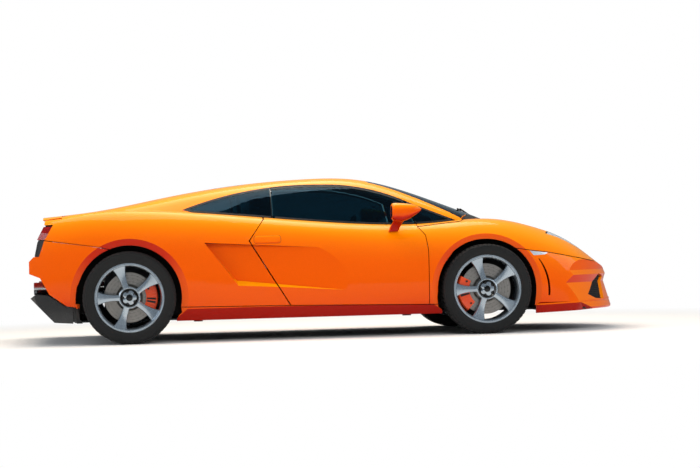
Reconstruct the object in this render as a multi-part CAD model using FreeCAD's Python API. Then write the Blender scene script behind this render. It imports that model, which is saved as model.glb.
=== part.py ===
"""A low mid-engined two-seat supercar, built up from the panels, glass, wheels and cabin pieces
that show from outside, from below or through the glass.

Millimetres. +X is forward, +Y is left and +Z is up. The origin lies on the ground at the middle of the
car's length and width. Each piece is a closed solid in a file of its own under parts/.
"""

import FreeCAD
import Part
import math
import os
from collections import namedtuple
from FreeCAD import Vector

# Ends of the body. The numbers below count X from a point between the axles, and the finished pieces are
# moved by FRAME_SHIFT so that the middle of the length is the origin.
NOSE_X = 2205.5
TAIL_X = -2139.5
FRAME_SHIFT = -(NOSE_X + TAIL_X) / 2

# Panels and fits
SKIN = 22.0
GLASS = 6.0
SEAM = 5.2
SEAT_GAP = 0.3
RUN_GAP = 6.0

# Wheels. Each axle: its name, x, tyre radius, tyre width, track, and the gap from tyre to arch lip.
Axle = namedtuple("Axle", "name x radius width track arch_gap disc_radius")
AXLES = (
    Axle("front", 1122.0, 323.5, 235.0, 1632.0, 35.0, 182.0),
    Axle("rear", -1438.0, 330.0, 295.0, 1597.0, 40.0, 178.0),
)
FRONT, REAR = AXLES
RIM_RADIUS = 241.0
ARCH_BEVEL = 46.0
ARCH_BEVEL_DEPTH = 25.0
ARCH_LIP_Y = 900.0
KINGPIN_INSET = 65.0

# Wheel details. w counts outward from the wheel's middle plane, r from its axis.
SPOKES = 5
RIM_FLANGE = 11.0
RIM_FLANGE_INSET = 8.0
RIM_WALL = 12.0
SPOKE_REACH = 222.0
HUB_RADIUS = 70.0
HUB_FACE_W = 38.0
HAT_RADIUS = 80.0
HAT_BORE = 40.0
DISC_W = 5.0
DISC_THICKNESS = 32.0
DISC_GAP = 5.0
CALIPER_CHEEK = 20.0
CALIPER_SPAN = 76.0
CALIPER_ANGLES = {"front": 190.0, "rear": -8.0}
STUB_RADIUS = 26.0
STUB_GAP = 0.3
BALL_Z = 105.0
BALL_RADIUS = 16.0
ARM_RADIUS = 10.0
ARM_SPREAD = 130.0
UPRIGHT_OUTLINE = (
    (-28, -BALL_Z),
    (28, -BALL_Z),
    (60, -40),
    (60, 40),
    (28, BALL_Z),
    (-28, BALL_Z),
    (-60, 40),
    (-60, -40),
)

# Chassis
SKIRT_BOTTOM_Z = 155.0
FLOOR = 12.0
RAIL_Y = {"front": 408.0, "rear": 380.0}
LINER = 5.0
LINER_GAP = {"front": 66.0, "rear": 66.0}
LINER_INNER_Y = {"front": 528.0, "rear": 640.0}

FLOOR_REAR_X = -1795.0
BULKHEAD_X = -640.0
BULKHEAD = 14.0
FIREWALL_X = 705.0
BAY_WALL = 8.0
BAY_FRONT_X = 1850.0
BAY_TOP_Z = 600.0
RAIL_WIDTH = 50.0
RAIL_HEIGHT = 70.0
RAIL_REAR_X = -1780.0
JACK_X = (-950.0, 560.0)
JACK_Y = 700.0
JACK_FACE_Z = 143.0
JACK_RADIUS = 32.0
TUNNEL = ((-150, 155), (-120, 360), (120, 360), (150, 155))
INNER_SILL = ((640, 155), (640, 250), (690, 320), (765, 320), (772, 155))

# Power unit and exhaust
ENGINE_X = (-1620.0, -720.0)
ENGINE_HALF_WIDTH = 300.0
ENGINE_Z = (200.0, 760.0)
SILENCER_X = -1885.0
INLET_PIPE_Y = 150.0
INLET_PIPE_RADIUS = 32.0
TAILPIPE_Y = (395.0, 500.0)
TAILPIPE_RADIUS = 44.0
TAILPIPE_Z = 405.0
TAILPIPE_END_X = -2120.0
VALANCE_X = -1985.0
TOW_EYE = (-610.0, 425.0)
TOW_RADIUS = 8.0
TOW_DEPTH = 40.0
DIFFUSER_HALF_WIDTH = 800.0
DIFFUSER_CHANNELS = 4
FIN = 12.0
DIFFUSER_PROFILE = ((-1795, 152), (-1970, 164), (-2135, 340), (-2100, 366), (-2015, 360), (-1888, 274), (-1795, 262))
CHANNEL_PROFILE = ((-1830, 100), (-1830, 156), (-2150, 345), (-2250, 345), (-2250, 100))

# Cabin
SEAT_Y = 385.0
SEAT_WIDTH = 460.0
SEAT_ROUND = 28.0
SEAT_BASE_Z = SKIRT_BOTTOM_Z + FLOOR + SEAT_GAP
SEAT_PROFILE = (
    (150, SEAT_BASE_Z),
    (170, 400),
    (120, 430),
    (-200, 380),
    (-430, 960),
    (-520, 990),
    (-560, 950),
    (-380, 300),
    (-330, SEAT_BASE_Z),
)
DASH_HALF_WIDTH = 690.0
DASH_PROFILE = ((390, 560), (370, 740), (430, 790), (700, 812), (1085, 822), (1085, 806), (697, 786), (697, 500))
WHEEL_RADIUS = 172.0
WHEEL_GRIP = 15.0
COLUMN_RADIUS = 20.0
COLUMN_LENGTH = 200.0
COLUMN_TILT = 112.0
STEERING_WHEEL_AT = (250.0, 370.0, 720.0)

# Slots across the engine lid
LID_SLOTS = 6
LID_FIRST_SLOT_X = -1000.0
LID_SLOT_PITCH = 105.0
LID_SLOT_LENGTH = 62.0
LID_SLOT_HALF_WIDTH = 290.0

# Lid and flap hinges. Each pin lies along Y at (x, z), at plus and minus y.
Hinge = namedtuple("Hinge", "x y z")
FRONT_LID_HINGE = Hinge(1108.0, 550.0, 829.0)
ENGINE_LID_HINGE = Hinge(-798.0, 412.0, 1092.5)
SPOILER_HINGE = Hinge(-1910.0, 350.0, 923.0)
HINGE_PIN = 4.0
HINGE_EYE = 7.0
STRAP_WIDTH = 16.0
STRAP_DEPTH = 14.0
ENGINE_LID_FRONT_X = -822.5
FRONT_LID_EDGE = (1982.0, 553.0)
ENGINE_LID_EDGE = (-1890.5, 934.0)
LID_MARGIN = 1.5
LID_EDGE_DEPTH = 8.0
LID_FLANGE_STEP = 10.0
SPOILER_PIN = 3.0
SPOILER_PIN_REACH = 15.0
SPOILER_EAR = 6.0
SPOILER_HALF_WIDTH = 600.0
SPOILER_PROFILE = ((-1907.5, 905), (-1907.5, 1000), (-2048, 1000), (-2042, 894), (-2018, 895))

# Glass frames and wiper
PILLAR = 18.0
FRONT_PILLAR = ((556, 1300), (561, 1000), (641, 780), (646, 600), (676, 600), (671, 780), (591, 1000), (586, 1300))
WIPER_BLADE = ((985, -470), (997, -474), (1118, 90), (1106, 94))
WIPER_ARM = ((1050, -200), (1060, -204), (1158, 60), (1142, 66))
WIPER_PIVOT = (1150.0, 62.0)

# Right door mirror. Rows: x, half width, half height, height of the middle. Stalk: foot and neck corners.
MIRROR_Y = -972.0
MIRROR_ROWS = (
    (434, 50, 44, 902),
    (452, 60, 50, 902),
    (520, 62, 51, 901),
    (590, 45, 37, 897),
    (635, 20, 17, 891),
    (650, 5, 4, 888),
)
MIRROR_STALK = (
    [(440, -838, 735), (500, -838, 735), (505, -838, 768), (445, -838, 768)],
    [(490, -948, 868), (552, -948, 868), (556, -948, 890), (494, -948, 890)],
)

# The nose in plan is one arc. Each row: distance behind the splitter's tip, and height.
NOSE_ARC = 1090.0
NOSE_PROFILE = ((12, 120), (0, 168), (53, 350), (37, 405), (50, 440))

# The tail from the side, from the deck down to the front of the rear overhang.
TAIL_PROFILE = (
    (-1900, 1300),
    (-1900, 900),
    (-2021, 889),
    (-2026, 853),
    (-2081, 748),
    (-2107, 632),
    (TAIL_X, 600),
    (TAIL_X, 514),
    (-2062, 483),
    (-2000, 367),
    (-1878, 281),
    (-1813, 271),
    (-1813, 100),
)

# Seams between panels, seen from the side.
SILL_SEAM = ((-1110, 254), (-298, 244), (699, 224), (800, 222))
DOOR_REAR_SEAM = ((-298, 244), (-583, 710), (-473, 862), (-473, 905))
DOOR_FRONT_SEAM = ((699, 224), (702, 613), (688, 721), (639, 783))
WAIST_SEAM = ((639, 783), (962, 815), (1040, 845))
FRONT_BUMPER_SEAM = ((1200, 632), (1380, 605), (1442, 594), (1585, 576), (1985, 500))
REAR_BUMPER_SEAM = ((-1438, 640), (-1640, 690), (-1700, 700), (-2000, 744), (-2300, 790))
DOOR_TOP_FRONT = (639, 835)
DOOR_HINGE = (607.0, -928.0)
DOOR_REAR_SKIN_Y = (-907.0, -906.0, -803.0, -716.0)
DOOR_SWEEP_INSET = 6.0

# Side window opening from the side. The lower points lie under the deck, where the opening ends.
SIDE_WINDOW = (
    (-1046, 946),
    (-560, 1076, "arc"),
    (-34, 1111),
    (320, 1069, "arc"),
    (615, 959),
    (962, 818),
    (700, 700),
    (-476, 780),
)
DOOR_GLASS_ENDS = ((-395, 600), (-395, 1300), (545, 1300), (552, 1000), (632, 780), (640, 600))
FRONT_LIGHT_ENDS = ((560, 1300), (565, 1000), (645, 780), (650, 600), (1300, 600), (1300, 1300))
QUARTER_GLASS_X = -407.0

# Openings and lids from above, right side negative.
WINDSCREEN = ((985, -645), (1158, 0, "arc"), (985, 645), (330, 470), (290, 0, "arc"), (330, -470))
COWL = ((988, -650), (1162, 0, "arc"), (988, 650), (1128, 604), (1212, 0, "arc"), (1128, -604))
FRONT_LID = (
    (1128, -604),
    (1212, 0, "arc"),
    (1128, 604),
    (1650, 520),
    (1985, 330),
    (1985, -330),
    (1650, -520),
)
REAR_WINDOW = ((-580, -400), (-800, -390), (-800, 390), (-580, 400))
ENGINE_LID = ((-812, -430), (-812, 430), (-1893, 500), (-1893, -500))
HEADLAMP = (
    (1600, -690),
    (1640, -560),
    (1990, -352),
    (2085, -290),
    (2078, -345),
    (1990, -470),
    (1800, -610),
)

# Recess along the flank that feeds the side intake: corners outside, and on its floor.
SCOOP_OUTER = ((150, 652), (-905, 712), (-655, 345), (330, 275))
SCOOP_FLOOR = ((150, 640), (-898, 698), (-676, 430), (300, 322))
SCOOP_START_X = 200.0
SCOOP_START_Y = 922.0
SCOOP_SLOPE = 0.0637

# Front intakes, seen from the front, and the rear panel with its lamps, seen from behind.
FRONT_INTAKE = ((-531, 408), (-717, 261), (-646, 229), (-500, 218), (-400, 385))
TAIL_BAND = ((-1962, 858), (-2400, 858), (-2400, 634), (-2066, 634), (-2026, 748))
TAIL_LAMP = ((-470, 754), (-500, 846), (-1100, 846), (-1100, 754))

# Slot and marker lamp in the side of the front bumper, from the side
VENT_SLOT = ((1506, 530), (1552, 435, "arc"), (1572, 264), (1587, 264), (1566, 435, "arc"), (1514, 530))
SIDE_MARKER = ((1444, 590), (1580, 572), (1562, 560), (1472, 556))
LENS = 10.0

# The lower body, station by station from tail to nose. Each row: x, then half widths and heights of
# the skirt crease, the flank, the upper flank, the shoulder, the deck beside it, and the centre height.
HULL_COLUMNS = (
    "x",
    "skirt_y",
    "skirt_z",
    "flank_y",
    "upper_y",
    "shoulder_y",
    "shoulder_z",
    "deck_y",
    "deck_z",
    "centre_z",
)
HULL_ROWS = (
    (-2200, 700, 235, 760, 745, 690, 850, 600, 870, 875),
    (-2080, 800, 235, 850, 840, 775, 880, 680, 892, 895),
    (-1920, 872, 235, 912, 900, 822, 915, 720, 912, 905),
    (-1700, 905, 235, 940, 930, 842, 953, 740, 940, 915),
    (-1437, 925, 235, 955, 948, 852, 958, 750, 952, 920),
    (-1150, 925, 238, 950, 942, 850, 932, 750, 945, 910),
    (-800, 915, 240, 925, 915, 852, 888, 750, 918, 885),
    (-300, 905, 240, 915, 905, 854, 825, 750, 872, 855),
    (250, 905, 232, 918, 905, 856, 770, 750, 828, 825),
    (700, 910, 226, 928, 910, 850, 768, 745, 806, 805),
    (1050, 915, 220, 940, 925, 805, 822, 700, 842, 832),
    (1300, 905, 218, 930, 905, 775, 808, 655, 836, 820),
    (1560, 880, 216, 895, 860, 720, 730, 590, 766, 752),
    (1820, 830, 212, 825, 780, 640, 640, 525, 680, 672),
    (2050, 740, 205, 700, 650, 545, 450, 420, 480, 515),
    (2230, 600, 195, 560, 520, 430, 350, 320, 365, 372),
)
SKIRT_TUCK = 62.0
FLANK_LOW_SHARE = 0.14
FLANK_MID_SHARE = 0.48
UPPER_SHARE = 0.80
DECK_MID_SHARE = 0.5

# The greenhouse over it: roof, pillars, windscreen and engine deck.
CABIN_COLUMNS = (
    "x",
    "base_y",
    "base_z",
    "belt_y",
    "belt_z",
    "rail_y",
    "rail_z",
    "roof_y",
    "roof_z",
    "centre_z",
)
CABIN_ROWS = (
    (-2200, 600, 780, 570, 850, 520, 895, 430, 905, 908),
    (-1950, 610, 790, 585, 860, 530, 915, 440, 925, 928),
    (-1650, 640, 800, 610, 880, 540, 940, 440, 950, 955),
    (-1300, 690, 810, 660, 900, 560, 990, 450, 1018, 1028),
    (-950, 750, 790, 715, 890, 595, 1050, 470, 1082, 1092),
    (-550, 800, 760, 745, 865, 590, 1096, 470, 1134, 1144),
    (-150, 820, 730, 765, 835, 575, 1118, 460, 1158, 1170),
    (250, 820, 700, 770, 805, 575, 1116, 455, 1162, 1177),
    (600, 800, 680, 765, 790, 615, 1000, 480, 1060, 1078),
    (950, 760, 680, 735, 770, 655, 868, 500, 922, 940),
    (1200, 690, 660, 660, 735, 600, 785, 470, 825, 846),
    (1400, 600, 640, 570, 690, 500, 712, 400, 740, 765),
)


def edges_of(points):
    """The (start, middle, end) of each side of an outline; middle is None on a straight side.
    A point with a third value is the middle of an arc."""
    ring = list(points) + [points[0]]
    sides = []
    index = 0
    while index < len(ring) - 1:
        step = 2 if len(ring[index + 1]) == 3 else 1
        middle = ring[index + 1][:2] if step == 2 else None
        sides.append((ring[index], middle, ring[index + step]))
        index += step
    return sides


def arc_centre(a, b, c):
    """The centre of the circle through three flat points."""
    d = 2 * (a[0] * (b[1] - c[1]) + b[0] * (c[1] - a[1]) + c[0] * (a[1] - b[1]))
    squares = [p[0] ** 2 + p[1] ** 2 for p in (a, b, c)]
    x = squares[0] * (b[1] - c[1]) + squares[1] * (c[1] - a[1]) + squares[2] * (a[1] - b[1])
    y = squares[0] * (c[0] - b[0]) + squares[1] * (a[0] - c[0]) + squares[2] * (b[0] - a[0])
    return x / d, y / d


def side_normals(side, sign):
    """Outward directions at the start, middle and end of one side of an outline."""
    start, middle, end = side
    if middle is None:
        length = math.hypot(end[0] - start[0], end[1] - start[1])
        normal = (sign * (end[1] - start[1]) / length, sign * (start[0] - end[0]) / length)
        return [normal] * 3
    centre = arc_centre(start, middle, end)
    radius = math.hypot(start[0] - centre[0], start[1] - centre[1])
    across = (middle[0] - start[0]) * (end[1] - middle[1]) - (middle[1] - start[1]) * (end[0] - middle[0])
    bulge = 1 if across * sign > 0 else -1
    return [(bulge * (p[0] - centre[0]) / radius, bulge * (p[1] - centre[1]) / radius) for p in side]


def grown(points, distance):
    """The outline moved outward all round by a distance, or inward if it is negative."""
    sides = edges_of(points)
    area = sum(s[0][0] * s[2][1] - s[2][0] * s[0][1] for s in sides)
    sign = 1 if area > 0 else -1
    normals = [side_normals(side, sign) for side in sides]
    moved = []
    for index, (start, middle, end) in enumerate(sides):
        before = normals[index - 1][2]
        after = normals[index][0]
        share = distance / (1 + before[0] * after[0] + before[1] * after[1])
        moved.append((start[0] + share * (before[0] + after[0]), start[1] + share * (before[1] + after[1])))
        if middle:
            normal = normals[index][1]
            moved.append((middle[0] + distance * normal[0], middle[1] + distance * normal[1], "arc"))
    return moved


def outline(points, plane):
    """The closed wire through flat points."""
    place = {
        "xz": lambda p: Vector(p[0], 0, p[1]),
        "xy": lambda p: Vector(p[0], p[1], 0),
        "yz": lambda p: Vector(0, p[0], p[1]),
    }[plane]
    edges = []
    for start, middle, end in edges_of(points):
        if middle:
            edges.append(Part.Arc(place(start), place(middle), place(end)).toShape())
        else:
            edges.append(Part.LineSegment(place(start), place(end)).toShape())
    return Part.Wire(edges)


def prism(points, plane, low, high, grow=0.0):
    """The outline pushed from low to high along its plane's normal, grown or shrunk all round."""
    face = Part.Face(outline(grown(points, grow) if grow else points, plane))
    normal = {"xz": Vector(0, 1, 0), "xy": Vector(0, 0, 1), "yz": Vector(1, 0, 0)}[plane]
    face.translate(normal * low)
    return face.extrude(normal * (high - low))


def block(x, y, z):
    """A box from three pairs of limits."""
    return Part.makeBox(x[1] - x[0], y[1] - y[0], z[1] - z[0], Vector(x[0], y[0], z[0]))


def bar(start, end, radius):
    """A round bar between two points."""
    line = end - start
    return Part.makeCylinder(radius, line.Length, start, line)


def mirrored(shape):
    return shape.mirror(Vector(0, 0, 0), Vector(0, 1, 0))


def both(shape):
    """A right-hand piece and its left-hand twin in one node."""
    return Part.makeCompound([shape, mirrored(shape)])


def fused(shapes):
    return shapes[0].fuse(list(shapes[1:])).removeSplitter()


def turned(section):
    """A ring about the wheel's own axis from a section of (outward distance, radius) points."""
    points = [Vector(0, -w, r) for w, r in section]
    wire = Part.makePolygon(points + [points[0]])
    return Part.Face(wire).revolve(Vector(0, 0, 0), Vector(0, 1, 0), 360)


def clamped(count, degree):
    """Knots and multiplicities of a clamped, evenly spaced B-spline."""
    spans = count - degree
    knots = [i / spans for i in range(spans + 1)]
    mults = [degree + 1] + [1] * (spans - 1) + [degree + 1]
    return knots, mults


def patch(poles):
    """The B-spline face over a grid of poles, cubic where there are enough of them."""
    u_degree = min(3, len(poles) - 1)
    v_degree = min(3, len(poles[0]) - 1)
    u_knots, u_mults = clamped(len(poles), u_degree)
    v_knots, v_mults = clamped(len(poles[0]), v_degree)
    surface = Part.BSplineSurface()
    surface.buildFromPolesMultsKnots(
        poles, u_mults, v_mults, u_knots, v_knots, False, False, u_degree, v_degree
    )
    return surface.toShape()


def cap(poles, closing):
    """The flat end face inside one section's curve and the straight lines that close it."""
    knots, mults = clamped(len(poles), 3)
    curve = Part.BSplineCurve()
    curve.buildFromPolesMultsKnots(poles, mults, knots, False, 3)
    corners = [poles[-1], *closing, poles[0]]
    lines = [
        Part.LineSegment(a, b).toShape() for a, b in zip(corners, corners[1:])
    ]
    return Part.Face(Part.Wire([curve.toShape(), *lines]))


def skinned(sections, low):
    """A closed solid under one smooth skin. Each section is (x, half), where half runs from the lower
    outer edge to the centre line. low gives, for each section, the corner below that edge, or None."""
    poles = []
    for x, half in sections:
        right = [Vector(x, -y, z) for y, z in half]
        left = [Vector(x, y, z) for y, z in reversed(half[:-1])]
        poles.append(right + left)
    faces = [patch(poles)]
    right_edge = [row[0] for row in poles]
    left_edge = [row[-1] for row in poles]
    if low:
        right_low = [Vector(s[0], -y, z) for s, (y, z) in zip(sections, low)]
        left_low = [Vector(s[0], y, z) for s, (y, z) in zip(sections, low)]
        faces.append(patch([[a, b] for a, b in zip(right_low, right_edge)]))
        faces.append(patch([[a, b] for a, b in zip(left_edge, left_low)]))
    else:
        right_low, left_low = right_edge, left_edge
    faces.append(patch([[a, b] for a, b in zip(left_low, right_low)]))
    for end in (0, -1):
        closing = [left_low[end], right_low[end]] if low else []
        faces.append(cap(poles[end], closing))
    shell = Part.makeShell(faces)
    shell.sewShape(0.01)
    solid = Part.makeSolid(shell.Shells[0])
    if solid.Volume < 0:
        solid.reverse()
    return solid


def hull(inset):
    """The lower body as a solid, inset from the outer skin by a wall thickness."""
    sections, low = [], []
    for row in HULL_ROWS:
        s = dict(zip(HULL_COLUMNS, row))
        rise = s["shoulder_z"] - s["skirt_z"]
        half = [
            (s["skirt_y"] - inset, s["skirt_z"] - inset),
            (s["flank_y"] - inset, s["skirt_z"] + FLANK_LOW_SHARE * rise),
            (s["flank_y"] - inset, s["skirt_z"] + FLANK_MID_SHARE * rise),
            (s["upper_y"] - inset, s["skirt_z"] + UPPER_SHARE * rise),
            (s["shoulder_y"] - inset, s["shoulder_z"] - inset),
            (s["deck_y"] - inset, s["deck_z"] - inset),
            (s["deck_y"] * DECK_MID_SHARE, (s["deck_z"] + s["centre_z"]) / 2 - inset),
            (0.0, s["centre_z"] - inset),
        ]
        sections.append((s["x"], half))
        low.append((s["skirt_y"] - SKIRT_TUCK - inset, SKIRT_BOTTOM_Z - inset))
    return skinned(sections, low)


def greenhouse(inset):
    """The upper body as a solid, inset from the outer skin."""
    sections = []
    for row in CABIN_ROWS:
        s = dict(zip(CABIN_COLUMNS, row))
        half = [
            (s["base_y"] - inset, s["base_z"] - inset),
            (s["belt_y"] - inset, s["belt_z"] - inset * 0.5),
            ((s["belt_y"] + s["rail_y"]) / 2 - inset * 0.87, (s["belt_z"] + s["rail_z"]) / 2 - inset * 0.5),
            (s["rail_y"] - inset * 0.8, s["rail_z"] - inset * 0.7),
            (s["roof_y"] - inset * 0.3, s["roof_z"] - inset),
            (s["roof_y"] * 0.5, (s["roof_z"] + 2 * s["centre_z"]) / 3 - inset),
            (0.0, s["centre_z"] - inset),
        ]
        sections.append((s["x"], half))
    return skinned(sections, None)


def nose_waste(inset):
    """What is cut away in front of the raked nose: a block less a drum turned to the nose's profile."""
    centre_x = NOSE_X - NOSE_ARC
    section = [(0, 0), (NOSE_ARC - NOSE_PROFILE[0][0] - inset, 0)]
    section += [(NOSE_ARC - back - inset, z) for back, z in NOSE_PROFILE]
    section += [(NOSE_ARC - NOSE_PROFILE[-1][0] - inset, 1400), (0, 1400)]
    wire = Part.makePolygon([Vector(centre_x + r, 0, z) for r, z in section + section[:1]])
    drum = Part.Face(wire).revolve(Vector(centre_x, 0, 0), Vector(0, 0, 1), 360)
    return block((centre_x, 2500), (-1150, 1150), (0, 1400)).cut(drum)


def tail_waste(inset):
    """What is cut away behind the tail's profile."""
    outer = [(-2600, 1300), *TAIL_PROFILE, (-2600, 100)]
    return prism(outer, "xz", -1150, 1150, inset)


def side_scoop(inset):
    """The wedge cut from the right flank. Its flat floor leans inward towards the rear."""
    signs = ((1, 1), (-1, 1), (-1, -1), (1, -1))
    outside = []
    floor = []
    for corner, inner, (sign_x, sign_z) in zip(SCOOP_OUTER, SCOOP_FLOOR, signs):
        outside.append(Vector(corner[0] + sign_x * inset, -1000, corner[1] + sign_z * inset))
        x = inner[0] + sign_x * inset
        y = -(SCOOP_START_Y - inset - SCOOP_SLOPE * (SCOOP_START_X - x))
        floor.append(Vector(x, y, inner[1] + sign_z * inset))
    wires = [Part.makePolygon(ring + ring[:1]) for ring in (outside, floor)]
    return Part.makeLoft(wires, True, True)


def arch_hull():
    """The lower body with its four wheel arches cut and their lips bevelled."""
    volume = hull(0.0)
    for side in (-1, 1):
        for axle in AXLES:
            radius = axle.radius + axle.arch_gap
            start = Vector(axle.x, side * 800, axle.radius)
            volume = volume.cut(Part.makeCylinder(radius, 300, start, Vector(0, side, 0)))
            lips = []
            for edge in volume.Edges:
                points = edge.discretize(7)
                reach = [math.hypot(p.x - axle.x, p.z - axle.radius) for p in points]
                on_arch = all(abs(r - radius) < 0.5 for r in reach)
                outside = all(side * p.y > 820 for p in points)
                if on_arch and outside and max(p.z for p in points) > axle.radius:
                    lips.append(edge)
            volume = volume.makeChamfer(ARCH_BEVEL, ARCH_BEVEL_DEPTH, lips)
    return volume


def inner_hull(inset):
    """The space inside the lower body. It stays clear of the lips that line the wheel arches."""
    volume = hull(inset)
    for side in (-1, 1):
        for axle in AXLES:
            radius = axle.radius + axle.arch_gap + inset
            start = Vector(axle.x, side * (ARCH_LIP_Y + SKIN - inset), axle.radius)
            volume = volume.cut(Part.makeCylinder(radius, 200, start, Vector(0, side, 0)))
    return volume


def trimmed(lower, inset):
    """The lower body and greenhouse together, ended at nose and tail, with the flank recesses cut."""
    volume = lower.fuse(greenhouse(inset)).cut([nose_waste(inset), tail_waste(inset)])
    scoop = side_scoop(inset)
    return volume.cut([scoop, mirrored(scoop)])


LOWER = arch_hull()
OUTER = trimmed(LOWER, 0.0)
INNER = trimmed(inner_hull(SKIN), SKIN)
ROOM = trimmed(inner_hull(SKIN + SEAT_GAP), SKIN + SEAT_GAP)
SHELL = OUTER.cut(INNER)

DOOR_OUTLINE = (*DOOR_REAR_SEAM, DOOR_TOP_FRONT, *reversed(DOOR_FRONT_SEAM))
HALF_SEAM = SEAM / 2


def skin_within(outline_points, low=-1200.0, high=1200.0):
    """The part of the skin inside a side-view outline, with half a seam left free all round."""
    return SHELL.common(prism(outline_points, "xz", low, high, -HALF_SEAM))


def from_above(points, grow):
    """A cutter for the upper surfaces, from an outline seen from above."""
    return prism(points, "xy", 440, 1400, grow)


def make_sills():
    outline_points = [(-1110, 100), *SILL_SEAM, (800, 100)]
    return both(skin_within(outline_points, high=0.0))


def make_front_bumper():
    outline_points = [(1200, 100), *FRONT_BUMPER_SEAM, (1985, 900), (2500, 900), (2500, 100)]
    bumper = skin_within(outline_points)
    intake = prism(FRONT_INTAKE, "yz", 1700, 2300)
    lamp = from_above(HEADLAMP, SEAT_GAP)
    slot = prism(VENT_SLOT, "xz", -1200, 1200)
    marker = prism(SIDE_MARKER, "xz", -1200, 1200, SEAT_GAP)
    return bumper.cut([intake, mirrored(intake), lamp, mirrored(lamp), slot, marker])


def make_front_fenders():
    outline_points = [
        *DOOR_FRONT_SEAM,
        *WAIST_SEAM[1:],
        (1040, 1100),
        (1985, 1100),
        *reversed(FRONT_BUMPER_SEAM),
        (800, 222),
    ]
    fender = skin_within(outline_points, high=0.0)
    openings = [from_above(FRONT_LID, HALF_SEAM), from_above(COWL, HALF_SEAM)]
    openings += [from_above(WINDSCREEN, 0.0), from_above(HEADLAMP, SEAT_GAP)]
    return both(main_solid(fender.cut(openings)))


def hinge_bars(hinge, radius, half_length):
    """A round bar along Y at each of the two hinge points."""
    bars = []
    for side in (-1, 1):
        middle = Vector(hinge.x, side * hinge.y, hinge.z)
        bars.append(bar(middle - Vector(0, half_length, 0), middle + Vector(0, half_length, 0), radius))
    return bars


def hinge_notches(hinge, low_x, high_x):
    """The openings in the fixed panel that the two straps pass through."""
    half = STRAP_WIDTH / 2 + SEAM
    notches = []
    for side in (-1, 1):
        y = side * hinge.y
        notches.append(block((low_x, high_x), (y - half, y + half), (hinge.z - 60, hinge.z + 60)))
    return notches


def with_pins(panel, hinge, low_x, high_x):
    """The fixed panel with its two notches, and a hinge pin across each."""
    pins = hinge_bars(hinge, HINGE_PIN, STRAP_WIDTH / 2 + SEAM + 2)
    return panel.cut(hinge_notches(hinge, low_x, high_x)).fuse(pins)


def with_straps(lid, hinge, end_x):
    """The lid with a strap and an eye that reach back to each hinge pin."""
    straps = hinge_bars(hinge, HINGE_EYE, STRAP_WIDTH / 2)
    for side in (-1, 1):
        y = (side * hinge.y - STRAP_WIDTH / 2, side * hinge.y + STRAP_WIDTH / 2)
        straps.append(block(sorted((hinge.x, end_x)), y, (hinge.z - STRAP_DEPTH, hinge.z)))
    return lid.fuse(straps).cut(hinge_bars(hinge, HINGE_PIN + SEAT_GAP, STRAP_WIDTH))


def within_sweep(lid, hinge, edge_x, edge_z):
    """The lid, ended by the circle that its free edge swings on, so that its seam stays open at every angle."""
    radius = math.hypot(edge_x - hinge.x, edge_z - hinge.z)
    return lid.common(Part.makeCylinder(radius, 2400, Vector(hinge.x, -1200, hinge.z), Vector(0, 1, 0)))


def make_front_lid():
    """The lid over the luggage bay. Its flange is set back under its edge, to clear the fenders as it swings."""
    lid = SHELL.common(from_above(FRONT_LID, -HALF_SEAM - LID_MARGIN))
    lid = lid.cut(hull(LID_EDGE_DEPTH).cut(from_above(FRONT_LID, -HALF_SEAM - LID_FLANGE_STEP)))
    lid = within_sweep(lid, FRONT_LID_HINGE, *FRONT_LID_EDGE)
    return with_straps(lid, FRONT_LID_HINGE, FRONT_LID_HINGE.x + 66)


def make_engine_lid():
    """The lid over the engine, with a row of slots across it."""
    lid = SHELL.common(from_above(ENGINE_LID, -HALF_SEAM))
    lid = lid.common(block((-2100, ENGINE_LID_FRONT_X), (-600, 600), (700, 1300)))
    slots = []
    for index in range(LID_SLOTS):
        x = LID_FIRST_SLOT_X - index * LID_SLOT_PITCH
        slots.append(block((x - LID_SLOT_LENGTH, x), (-LID_SLOT_HALF_WIDTH, LID_SLOT_HALF_WIDTH), (700, 1300)))
    lid = within_sweep(lid.cut(slots), ENGINE_LID_HINGE, *ENGINE_LID_EDGE)
    return with_straps(lid, ENGINE_LID_HINGE, ENGINE_LID_HINGE.x - 40)


def make_cowl():
    cowl = SHELL.common(from_above(COWL, -HALF_SEAM)).cut(from_above(WINDSCREEN, SEAT_GAP))
    return with_pins(cowl, FRONT_LID_HINGE, FRONT_LID_HINGE.x - 13, FRONT_LID_HINGE.x + 60)


def side_window_opening():
    """The right side window opening, down to the deck that it stands on."""
    return prism(SIDE_WINDOW, "xz", -900, -350).cut(LOWER)


def make_body_frame():
    outline_points = [
        *DOOR_REAR_SEAM,
        DOOR_TOP_FRONT,
        *WAIST_SEAM,
        (1040, 1400),
        (-2300, 1400),
        *reversed(REAR_BUMPER_SEAM),
        SILL_SEAM[0],
    ]
    frame = skin_within(outline_points)
    window = side_window_opening()
    panel = prism(TAIL_BAND, "xz", -1200, 1200)
    above = [from_above(WINDSCREEN, 0.0), from_above(REAR_WINDOW, 0.0)]
    above += [from_above(ENGINE_LID, HALF_SEAM), from_above(COWL, HALF_SEAM)]
    frame = frame.cut([window, mirrored(window), panel, *above])
    throat = scoop_throat()
    frame = frame.cut([throat, mirrored(throat)])
    frame = with_pins(frame, ENGINE_LID_HINGE, ENGINE_LID_HINGE.x - 15, ENGINE_LID_HINGE.x + 13)
    ears = hinge_bars(SPOILER_HINGE, SPOILER_PIN, SPOILER_PIN_REACH)
    x = (SPOILER_HINGE.x - 6, SPOILER_HINGE.x + 6)
    for side in (-1, 1):
        y = side * SPOILER_HINGE.y
        ears.append(block(x, (y - SPOILER_EAR / 2, y + SPOILER_EAR / 2), (885, SPOILER_HINGE.z + 5)))
    return frame.fuse(ears)


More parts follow.
